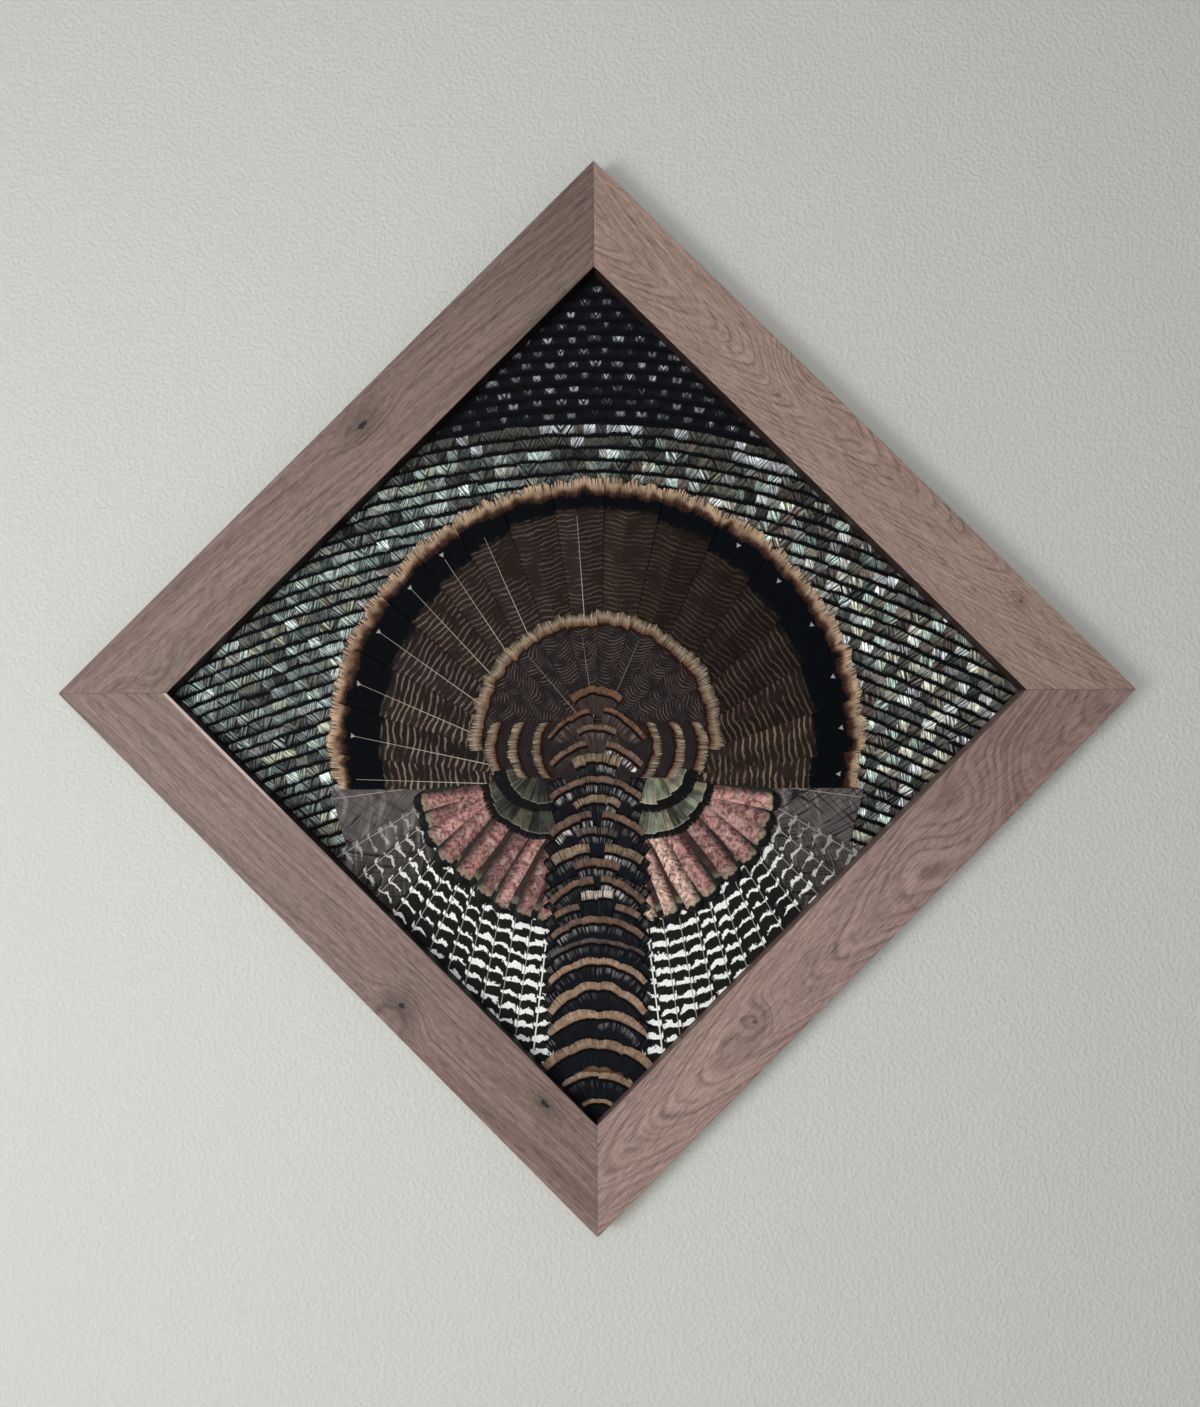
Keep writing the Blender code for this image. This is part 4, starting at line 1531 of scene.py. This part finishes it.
@dataclass
class WingFeathers:
    """The fan of barred wing feathers on one side, trimmed along the lower rail."""

    side: Side
    count: int = 14
    centre_z: float = -0.0940
    first_angle: float = 7.0
    last_angle: float = 84.0
    start_radius: float = 0.2330
    radius_loss: float = 0.0210
    turns: tuple[tuple[float, float], ...] = ((7.0, 4.0), (13.0, 33.0), (28.0, 51.0), (45.0, 72.0),
                                              (57.0, 79.0), (84.0, 86.0))
    hidden: float = 0.0550
    long_roots: float = 0.1300
    short_roots: int = 6
    root_sink: float = 0.0300
    deepest_sink: float = 0.0016
    camber: float = 0.0005
    first_length: float = 0.0900
    length_step: float = 0.0150
    low: float = 0.0143
    high: float = 0.0157
    shaft_share: float = 0.05
    overlap_share: float = 0.10
    grey_feathers: int = 4
    first_white: int = 12
    under_fan: float = 0.0100
    low_under_fan: float = 0.0140
    pale_quill_width: float = 0.0005
    white_quill_width: float = 0.0009
    quill_height: float = 0.0006
    slate: Colour = seen(88, 83, 82)
    drab: Colour = seen(70, 63, 57)

    def line(self, number: float) -> tuple[Vector, Vector]:
        """Gives the line between two feathers, as it lies on the right side.

        Args:
            number: The number of the feather on its inner side.

        Returns:
            The start and the direction of the line.
        """
        share = number / self.count
        fan = self.first_angle + (self.last_angle - self.first_angle) * share
        turn = math.radians(between_knots(self.turns, fan))
        radius = self.start_radius - self.radius_loss * share
        fan = math.radians(fan)
        start = Vector((radius * math.cos(fan), self.centre_z - radius * math.sin(fan)))
        return start, Vector((math.cos(turn), -math.sin(turn)))

    def form(self, number: int) -> Form:
        """Gives the shape of one feather, spread between its two lines.

        Args:
            number: Which feather it is, counted from the outside.

        Returns:
            The form.
        """
        hidden = max(self.hidden, self.long_roots * (1 - number / self.short_roots))
        length = self.first_length + number * self.length_step
        outer, inner = self.line(number), self.line(number + 1)

        def spot(share_across: float, step: float) -> Vector:
            """A point between the lines, this far along them."""
            ends = [start + way * step for start, way in (outer, inner)]
            return ends[0].lerp(ends[1], share_across)

        def place(side: float, share: float, stray: float) -> Spot:
            """A point of the feather. The outermost one reaches under the fan."""
            step = length - share * (length + hidden)
            width = (spot(1.0, step) - spot(0.0, step)).length
            outer_share = self.under_fan / width if number == 0 else self.overlap_share
            across_share = (side + 1) / 2 * (1 + outer_share + self.overlap_share) - outer_share
            point = spot(across_share, step)
            depth = self.high + (self.low - self.high) * across_share
            depth += self.camber * math.sin(math.pi * min(1.0, max(0.0, across_share)))
            depth -= min(self.deepest_sink, max(0.0, -step) * self.root_sink)
            if across_share < -self.overlap_share:
                depth = self.low_under_fan
            made = Vector((self.side.value * point.x + CENTRE_X, -depth, point.y))
            return made, (across_share - self.shaft_share) * width, length - step

        return place

    def quill(self, plumage: Plumage, number: int) -> None:
        """Adds the shaft near the outer edge of a feather.

        Args:
            plumage: What it is added to.
            number: Which feather it is, counted from the outside.
        """
        vane = self.form(number)
        is_white = number >= self.first_white
        width = self.white_quill_width if is_white else self.pale_quill_width
        side = (self.shaft_share + self.overlap_share) / (1 + 2 * self.overlap_share) * 2 - 1

        def form(edge: float, share: float, stray: float) -> Spot:
            """A point of the shaft, which stands out of the vane."""
            point, _, below = vane(side, share, 0.0)
            ahead, _, _ = vane(side, share + 0.01, 0.0)
            way = (ahead - point).normalized()
            across = way.cross(Vector((0.0, 1.0, 0.0))) * (edge * width)
            lifted = Vector((0.0, -self.quill_height * (1.4 - edge * edge), 0.0))
            return point + across * self.side.value + lifted, edge * width, below

        plumage.grow(2, 12, form, Look(), finish=2 if is_white else 1)

    def look(self, number: int, chance: random.Random) -> Look:
        """Chooses the bars of a feather: none on the outermost, and thick ones near the spine.

        Args:
            number: Which feather it is, counted from the outside.
            chance: Where the draws come from.

        Returns:
            The look of the feather.
        """
        if number < self.grey_feathers:
            share = number / self.grey_feathers
            tint = between(self.slate, self.drab, share)
            return Look(tint, tint, min(1.0, 1.15 * share), 0.17 + 0.05 * share, 0.60 * share)
        heavy = max(0.0, (number - 6) / 7)
        return Look(self.drab, self.drab, 1.0, 0.24 + 0.18 * heavy + chance.uniform(-0.03, 0.03), 1.0)

    def build(self) -> None:
        """Lays the feathers from the outside in."""
        name = self.side.name.lower()
        vanes = WingFinish("barred_wing_feathers", roughness=0.7, gloss=0.05, fineness=420.0).build()
        pale = QuillFinish("wing_quill", seen(150, 147, 140)).build()
        white = QuillFinish("white_quill", seen(226, 224, 218)).build()
        plumage = Plumage(f"wing_feather_fan_{name}", [vanes, pale, white], 300 + self.side.value)
        for number in range(self.count):
            plumage.grow(14, 40, self.form(number), self.look(number, plumage.chance))
            self.quill(plumage, number)
        plumage.clip()
        plumage.piece([f"wing_feathers_{name}"])


@dataclass
class CopperCoverts:
    """The copper coverts over the roots of the wing feathers, on one side."""

    side: Side
    tips: tuple[tuple[float, float, float], ...] = (
        (0.2223, -0.1345, 6), (0.2150, -0.1615, 24), (0.2080, -0.1830, 35), (0.1930, -0.2085, 47),
        (0.1690, -0.2290, 52), (0.1428, -0.2520, 56), (0.1215, -0.2665, 60), (0.0930, -0.2780, 66),
        (0.0650, -0.2860, 76))
    depth: float = 0.0182
    layer: float = 0.0003
    depth_jitter: float = 0.0001
    tones: tuple[Colour, ...] = (seen(158, 115, 109), seen(144, 107, 102), seen(168, 125, 119),
                                 seen(136, 100, 95))
    under_depth: float = 0.0152
    slate: Colour = seen(38, 38, 33)
    gold: Colour = seen(172, 144, 130)
    sink: float = 0.018
    roll: float = -0.045
    turn_jitter: float = 1.5
    gilded: int = 3
    right_light: float = 1.45
    right_light_step: float = 0.07
    left_light: float = 1.24
    under_light: float = 0.1
    under_reach: float = 0.97
    vane: Vane = Vane(length=0.1280, width=0.0152, columns=14, rows=44, shoulder=0.0160, shrink=0.45,
                      drop=0.0065, root=0.78, taper=0.0900, camber=0.0024, ripple=0.0005, crowd=1.3,
                      ragged=0.0010, parting=0.15, parting_length=0.0060, parting_gap=0.4)

    def build(self) -> None:
        """Lays the coverts, each over the next one towards the spine."""
        name = self.side.name.lower()
        way = self.side.value
        finish = CopperFinish("copper_coverts", roughness=0.5, gloss=0.12, fineness=520.0).build()
        plumage = Plumage(f"copper_covert_fan_{name}", [finish], 400 + way)
        chance = plumage.chance
        for index, (x, z, slope) in enumerate(self.tips):
            depth = self.depth - self.layer * index
            depth += chance.uniform(-self.depth_jitter, self.depth_jitter)
            angle = self.side.angle(slope) + chance.uniform(-self.turn_jitter, self.turn_jitter)
            place = Place(way * x + CENTRE_X, z, angle, depth, self.sink, self.roll * way)
            tone = chance.choice(self.tones)
            if way > 0 and index >= len(self.tips) - self.gilded:
                tone = self.gold
            light = self.right_light + self.right_light_step * index if way > 0 else self.left_light
            dim = chance.uniform(0.82, 1.18) * light
            tint = dimmed(tone, dim)
            plumage.feather(self.vane, place, Look(tint, tint, 1.0, -way))
            if index:
                before = self.tips[index - 1]
                middle = [(first + second) / 2 for first, second in zip(before, (x, z, slope))]
                place = Place(way * middle[0] * self.under_reach + CENTRE_X, middle[1] * self.under_reach,
                              self.side.angle(middle[2]), self.under_depth, self.sink, self.roll * way)
                plumage.feather(self.vane, place, Look(self.slate, self.slate, self.under_light, -way))
        nodes = [f"copper_covert_{name}_{index + 1}" for index in range(len(self.tips))]
        plumage.piece(nodes)


@dataclass(frozen=True)
class GreenRow:
    """One row of green feathers, whose tips lie on an arc. Angles are degrees below the horizontal.

    Black is the length of the black tips.
    """

    centre_x: float
    centre_z: float
    radius: float
    first_angle: float
    last_angle: float
    feathers: int
    depth: float
    black: float


@dataclass
class GreenFeathers:
    """Two short rows of green feathers between the copper coverts and the column, on one side."""

    side: Side
    rows: tuple[GreenRow, ...] = (
        GreenRow(0.0680, -0.1030, 0.0750, 8.0, 106.0, 5, 0.0204, 0.0095),
        GreenRow(0.0680, -0.0865, 0.0585, 8.0, 108.0, 4, 0.0214, 0.0150))
    root_radius: float = 0.0160
    sink: float = 0.01
    roll: float = 0.020
    tones: Mapping[Side, tuple[Colour, ...]] = field(default_factory=lambda: {
        Side.LEFT: (seen(60, 59, 50), seen(44, 46, 41), seen(76, 72, 60), seen(52, 55, 50),
                    seen(34, 35, 31)),
        Side.RIGHT: (seen(118, 122, 106), seen(80, 86, 76), seen(132, 126, 104), seen(92, 92, 78),
                     seen(50, 50, 42))})
    shines: Mapping[Side, float] = field(default_factory=lambda: {Side.LEFT: 0.06, Side.RIGHT: 0.22})

    def build(self) -> None:
        """Lays the outer row, then the inner one over it."""
        name = self.side.name.lower()
        way = self.side.value
        finish = GreenFinish("green_feathers", roughness=0.5, gloss=0.08).build()
        plumage = Plumage(f"green_feather_rows_{name}", [finish], 500 + way)
        chance = plumage.chance
        for number, row in enumerate(self.rows):
            pitch = (row.last_angle - row.first_angle) / row.feathers
            spread = math.tan(math.radians(pitch) / 2)
            for index in range(row.feathers):
                slope = row.first_angle + (index + 0.5) * pitch
                turn = math.radians(slope)
                radius = row.radius + chance.uniform(-0.0015, 0.0015)
                x = way * (row.centre_x + radius * math.cos(turn)) + CENTRE_X
                z = row.centre_z - radius * math.sin(turn)
                place = Place(x, z, self.side.angle(slope), row.depth, self.sink, self.roll * way)
                vane = WedgeVane(length=radius - self.root_radius, width=0.0, columns=26, rows=16,
                                 shoulder=0.0060, shrink=0.03, drop=0.0015, drop_reach=0.0400,
                                 wobble=0.0020, camber=0.0005, ripple=0.0004, ragged=0.0014,
                                 parting=0.35, parting_length=0.0080, parting_gap=0.5, radius=radius,
                                 left_spread=spread, right_spread=spread, overlap=0.0012)
                left, right = (chance.choice(self.tones[self.side]) for _ in range(2))
                near = index / (row.feathers - 1)
                shine = self.shines[self.side] * (1 + 1.6 * number * near) * chance.uniform(0.5, 1.2)
                black = row.black * (1.15 - 0.45 * near) * chance.uniform(0.88, 1.08)
                look = Look(left, right, shine, black)
                plumage.feather(vane, place, look)
        plumage.piece([f"green_feathers_{name}"])


class TipColour(Enum):
    """The colours that the rump feathers' tips come in."""

    BUFF = seen(146, 122, 102)
    RUST = seen(106, 78, 60)
    BROWN = seen(112, 90, 77)
    GOLD = seen(134, 116, 96)
    GREY = seen(86, 80, 76)
    WHITE = seen(196, 184, 172)


@dataclass(frozen=True)
class Course:
    """One row of tips down the middle: a bow with its crown on the centre line.

    Fall is how far the bow drops at its ends, and gap the half width that it leaves free in the middle. Band
    is the length of the tips, comb how deeply they are combed, and glints the light under them, left and
    right.
    """

    crown: float
    half_width: float
    fall: float
    band: float
    colour: TipColour
    gap: float = 0.0
    glints: tuple[float, float] = (0.0, 0.0)
    comb: float = 0.35
    feathers: int = 0
    scallop: float = 0.0015


@dataclass
class RumpColumn:
    """The rump feathers and upper tail coverts down the middle, with their side feathers."""

    courses: tuple[Course, ...] = (
        Course(0.0084, 0.0325, 0.0130, 0.0100, TipColour.RUST, 0.0, (0.0, 0.0), 0.1),
        Course(-0.0170, 0.0600, 0.0360, 0.0065, TipColour.RUST, 0.0100, (0.04, 0.06), 0.1),
        Course(-0.0389, 0.0245, 0.0060, 0.0075, TipColour.BROWN, 0.0, (0.10, 0.12), 0.2),
        Course(-0.0560, 0.0580, 0.0280, 0.0075, TipColour.BROWN, 0.0140, (0.16, 0.50), 0.2),
        Course(-0.0728, 0.0305, 0.0060, 0.0125, TipColour.GOLD, 0.0, (0.02, 0.25), 0.9),
        Course(-0.1010, 0.0580, 0.0230, 0.0085, TipColour.BROWN, 0.0010, (0.40, 0.50), 0.4),
        Course(-0.1230, 0.0300, 0.0100, 0.0105, TipColour.GOLD, 0.0, (0.35, 0.35), 0.8),
        Course(-0.1420, 0.0590, 0.0250, 0.0100, TipColour.BROWN, 0.0080, (0.45, 0.35), 0.4),
        Course(-0.1620, 0.0260, 0.0050, 0.0090, TipColour.GREY, 0.0, (0.30, 0.20), 0.9),
        Course(-0.1805, 0.0570, 0.0170, 0.0130, TipColour.GOLD, 0.0110, (0.10, 0.40), 0.9),
        Course(-0.1995, 0.0290, 0.0060, 0.0105, TipColour.BROWN, 0.0, (0.40, 0.40), 0.5),
        Course(-0.2200, 0.0590, 0.0290, 0.0095, TipColour.BROWN, 0.0060, (0.25, 0.30), 0.3),
        Course(-0.2385, 0.0190, 0.0010, 0.0115, TipColour.WHITE, 0.0, (0.0, 0.1), 1.0),
        Course(-0.2505, 0.0530, 0.0150, 0.0085, TipColour.BROWN, 0.0240, (0.06, 0.25), 0.4),
        Course(-0.2690, 0.0575, 0.0210, 0.0085, TipColour.BROWN, 0.0, (0.25, 0.12), 0.2),
        Course(-0.2960, 0.0580, 0.0180, 0.0060, TipColour.GREY, 0.0, (0.10, 0.08), 0.4),
        Course(-0.3183, 0.0610, 0.0270, 0.0100, TipColour.BUFF, 0.0, (0.05, 0.12), 0.2, 2, 0.0026),
        Course(-0.3470, 0.0620, 0.0330, 0.0112, TipColour.BUFF, 0.0, (0.03, 0.08), 0.3, 2, 0.0034),
        Course(-0.3790, 0.0640, 0.0250, 0.0125, TipColour.BUFF, 0.0, (0.03, 0.10), 0.2, 1, 0.0065),
        Course(-0.4155, 0.0690, 0.0310, 0.0130, TipColour.BUFF, 0.0, (0.0, 0.0), 0.3, 2, 0.0030),
        Course(-0.4540, 0.0470, 0.0160, 0.0090, TipColour.BUFF, 0.0, (0.08, 0.02), 0.3, 1, 0.0034),
        Course(-0.4876, 0.0220, 0.0080, 0.0065, TipColour.BUFF))
    top_z: float = 0.0084
    end_z: float = -0.5100
    front_top: float = 0.0238
    front_bottom: float = 0.0208
    sink: float = 0.08
    feather_width: float = 0.0200
    black_below: float = -0.0700
    brown_reach: float = 0.0250
    bed: Course = Course(-0.0900, 0.0660, 0.0240, 0.0, TipColour.GREY, 0.0, (0.08, 0.08))
    bed_step: float = 0.0180
    bed_end: float = -0.4300
    bed_depth: float = 0.0040
    lap: float = 0.0009
    camber: float = 0.0006
    side_tips: tuple[float, ...] = (0.1360, 0.1080, 0.0790)
    side_z: float = -0.0720
    side_depth: float = 0.0214
    side_layer: float = 0.0006
    side_sink: float = 0.01
    side_tilts: tuple[float, float] = (1.0, 5.0)
    side_band: float = 0.0125
    side_band_step: float = 0.0010
    side_ridges: float = 0.20
    comb: Vane = Vane(length=0.0340, width=0.0100, columns=18, rows=14, ragged=0.0011, parting=0.35,
                      parting_length=0.0075, parting_gap=0.5)
    side_vane: Vane = Vane(length=0.0520, width=0.0340, columns=40, rows=18, shoulder=0.0100, shrink=0.03,
                           drop=0.0125, drop_reach=0.2000, wobble=0.0020, root=0.8, camber=0.0003,
                           crowd=1.6, ragged=0.0036, parting=0.70, parting_length=0.0100,
                           parting_gap=0.8)

    def front(self, z: float) -> float:
        """How far forward the column stands at this height."""
        fall = (self.top_z - z) / (self.top_z - self.end_z)
        return self.front_top + (self.front_bottom - self.front_top) * fall

    def form(self, course: Course, start: float, end: float, roll: float, shift: float, back: float) -> Form:
        """Gives the shape of one feather of a course, whose tip follows the course's bow.

        Args:
            course: The course that it is in.
            start: The x at which the feather starts.
            end: The x at which it ends.
            roll: How far its right edge is raised.
            shift: How far it is pulled back.
            back: How far it lies behind the column's front.

        Returns:
            The form.
        """
        front = self.front(course.crown) - back
        bend = course.fall / course.half_width ** 2

        def place(side: float, share: float, stray: float) -> Spot:
            """A point of the feather, square to the bow."""
            x = start + (end - start) * (side + 1) / 2
            below = self.comb.length * share ** self.comb.crowd
            outward = Vector((2 * bend * x, 1.0)).normalized()
            fallen = below + stray + course.scallop * side * side + shift
            point = Vector((x, course.crown - bend * x * x)) - outward * fallen
            depth = front - self.sink * below + roll * side + self.camber * (1 - side * side)
            stretch = 1 / outward.y
            return (Vector((point.x + CENTRE_X, -depth, point.y)),
                    side * (end - start) / 2 * stretch, below)

        return place

    def add_course(self, plumage: Plumage, course: Course, back: float = 0.0) -> None:
        """Lays one course from its ends to its middle, on both sides of the gap.

        Args:
            plumage: What it is added to.
            course: The course.
            back: How far it lies behind the column's front.
        """
        chance = plumage.chance
        reach = course.half_width - course.gap
        count = course.feathers or max(1, round(reach / self.feather_width))
        pitch = reach / count
        for way in (-1, 1):
            for number in range(count):
                middle = way * (course.half_width - pitch * (number + 0.5))
                form = self.form(course, middle - pitch / 2 - self.lap, middle + pitch / 2 + self.lap,
                                 chance.uniform(-0.0003, 0.0003), chance.uniform(-0.0006, 0.0012), back)
                dim = chance.uniform(0.82, 1.12)
                tint = dimmed(course.colour.value, dim)
                glint = course.glints[0 if way < 0 else 1] * chance.choice((0.1, 0.5, 1.0, 1.6))
                brown = min(1.0, max(0.0, (course.crown - self.black_below) / self.brown_reach))
                band = course.band * chance.uniform(0.78, 1.02)
                look = Look(tint, tint, glint, band, course.comb, brown)
                columns = round(self.comb.columns * max(1.0, pitch / self.feather_width))
                plumage.grow(columns, self.comb.rows, form, look, replace(self.comb, columns=columns))

    def add_side_feathers(self, plumage: Plumage) -> None:
        """Lays the feathers that point out of both flanks, the outer ones first.

        Args:
            plumage: What they are added to.
        """
        for number, tip in enumerate(self.side_tips):
            for side in Side:
                angle = side.angle(plumage.chance.uniform(*self.side_tilts))
                place = Place(side.value * tip + CENTRE_X, self.side_z, angle,
                              self.side_depth + self.side_layer * number, self.side_sink)
                tone = plumage.chance.uniform(0.86, 1.0)
                look = Look((tone,) * 3, (tone,) * 3, 1.0, self.side_band - self.side_band_step * number,
                            self.side_ridges)
                plumage.grow(self.side_vane.columns, self.side_vane.rows,
                             lambda *spot, where=place: self.side_vane.form(where, *spot), look,
                             self.side_vane, finish=1)

    def build(self) -> None:
        """Lays the side feathers, then the courses from the top down."""
        column = RumpFinish("rump_feathers", gloss=0.06, fineness=700.0).build()
        fringe = CovertFinish("side_coverts", roughness=0.7, gloss=0.04).build()
        plumage = Plumage("rump_feather_column", [column, fringe], 600)
        self.add_side_feathers(plumage)
        for number in range(int((self.bed.crown - self.bed_end) / self.bed_step)):
            crown = self.bed.crown - number * self.bed_step
            self.add_course(plumage, replace(self.bed, crown=crown), self.bed_depth)
        for course in self.courses:
            self.add_course(plumage, course)
        plumage.clip()
        plumage.piece(["rump_feathers"])


@dataclass(frozen=True)
class WallPaint:
    """Pale paint with a fine orange-peel texture, for the backdrop.

    The backdrop lets light and looks through from behind, so that the back of the frame can be seen.
    """

    name: str
    colour: Colour
    peel_scale: float = 190.0
    peel_height: float = 0.0012

    def build(self) -> bpy.types.Material:
        """Makes the paint.

        Returns:
            The material.
        """
        graph = Graph(self.name)
        place = graph.node("ShaderNodeTexCoord").outputs["Object"]
        peel = graph.noise(place, self.peel_scale, 2.0).step(0.35, 0.70)
        graph.finish(Base_Color=self.colour, Roughness=0.75, Specular_IOR_Level=0.2,
                     Normal=graph.bumped(peel, self.peel_height, 0.6))
        behind = Value(graph, graph.node("ShaderNodeNewGeometry").outputs["Backfacing"])
        shadow = Value(graph, graph.node("ShaderNodeLightPath").outputs["Is Shadow Ray"])
        clear = graph.node("ShaderNodeBsdfTransparent")
        mixed = graph.node("ShaderNodeMixShader", None, {
            0: behind.largest(shadow), 1: graph.shader.outputs[0], 2: clear.outputs[0]})
        output = graph.tree.nodes["Material Output"]
        graph.tree.links.new(mixed.outputs[0], output.inputs["Surface"])
        return graph.material


@dataclass(frozen=True)
class Lamp:
    """A soft square light that shines at the middle of the picture. Its power is in watts."""

    name: str
    spot: tuple[float, float, float]
    size: float
    power: float

    def build(self) -> None:
        """Adds the light."""
        data = bpy.data.lights.new(self.name, "AREA")
        data.size = self.size
        data.energy = self.power
        made = bpy.data.objects.new(self.name, data)
        made.location = self.spot
        made.rotation_euler = (-Vector(self.spot)).to_track_quat("-Z", "Y").to_euler()
        bpy.context.scene.collection.objects.link(made)


@dataclass
class Studio:
    """The pale backdrop and floor, the lights and the camera.

    The eye's axes are the camera's right, up and back, and its focal length is in the picture's pixels.
    """

    wall_y: float = 0.0006
    wall_half: float = 2.6
    floor_z: float = -1.05
    wall_colour: Colour = seen(198, 200, 195)
    floor_colour: Colour = seen(205, 202, 196)
    sky_colour: Colour = (0.97, 0.99, 1.0)
    sky_strength: float = 0.26
    lamps: tuple[Lamp, ...] = (Lamp("window", (-1.8, -2.4, -0.6), 1.2, 42.5),
                               Lamp("room", (-0.4, -2.9, 0.4), 1.6, 22.0),
                               Lamp("behind", (0.4, 2.6, 1.2), 2.0, 45.0))
    focal_pixels: float = 1202.0
    image_size: tuple[int, int] = (1200, 1407)
    sensor: float = 36.0
    eye: tuple[float, float, float] = (0.01479, -1.4773, -0.0603)
    eye_axes: tuple[tuple[float, float, float], ...] = ((0.99997, 0.00672, -0.003855),
                                                        (0.004066, -0.031681, 0.99949),
                                                        (0.006594, -0.999475, -0.031707))

    def sheet(self, name: str, matrix: Matrix, size: float, finish: bpy.types.Material) -> None:
        """Adds one flat part of the backdrop.

        Args:
            name: Its name.
            matrix: What moves it into place.
            size: Half its side.
            finish: Its material.
        """
        flat = bmesh.new()
        bmesh.ops.create_grid(flat, x_segments=1, y_segments=1, size=size)
        bmesh.ops.transform(flat, matrix=matrix, verts=flat.verts)
        mesh = bpy.data.meshes.new(name)
        flat.to_mesh(mesh)
        flat.free()
        mesh.materials.append(finish)
        made = bpy.data.objects.new(name, mesh)
        bpy.context.scene.collection.objects.link(made)

    def build(self) -> None:
        """Builds the studio."""
        wall = Matrix.Translation((0.0, self.wall_y, 0.0)) @ Matrix.Rotation(math.radians(90), 4, "X")
        self.sheet("wall", wall, self.wall_half, WallPaint("wall_paint", self.wall_colour).build())
        floor = Matrix.Translation((0.0, 0.0, self.floor_z))
        plain = Graph("floor_paint").finish(Base_Color=self.floor_colour, Roughness=0.8)
        self.sheet("floor", floor, self.wall_half, plain)

        scene = bpy.context.scene
        scene.view_settings.view_transform = "Standard"
        world = bpy.data.worlds.new("soft_room")
        world.use_nodes = True
        sky = world.node_tree.nodes["Background"]
        sky.inputs["Color"].default_value = (*self.sky_colour, 1.0)
        sky.inputs["Strength"].default_value = self.sky_strength
        scene.world = world
        for lamp in self.lamps:
            lamp.build()

        lens = bpy.data.cameras.new("camera")
        lens.sensor_width = self.sensor
        lens.lens = self.focal_pixels / max(self.image_size) * self.sensor
        camera = bpy.data.objects.new("camera", lens)
        right, up, back = (Vector(axis) for axis in self.eye_axes)
        camera.matrix_world = Matrix.Translation(self.eye) @ Matrix((right, up, back)).transposed().to_4x4()
        scene.collection.objects.link(camera)
        scene.camera = camera


def main() -> None:
    """Dresses the frame and grows every group of feathers."""
    logging.basicConfig(level=logging.INFO, format="%(name)s: %(message)s", stream=sys.stdout)
    Rails().dress()
    Board().dress()
    BodyFeathers().build()
    TailFan().build()
    TailCoverts().build()
    for side in Side:
        WingFeathers(side).build()
        CopperCoverts(side).build()
        GreenFeathers(side).build()
    RumpColumn().build()
    Studio().build()


if __name__ == "__main__":
    main()
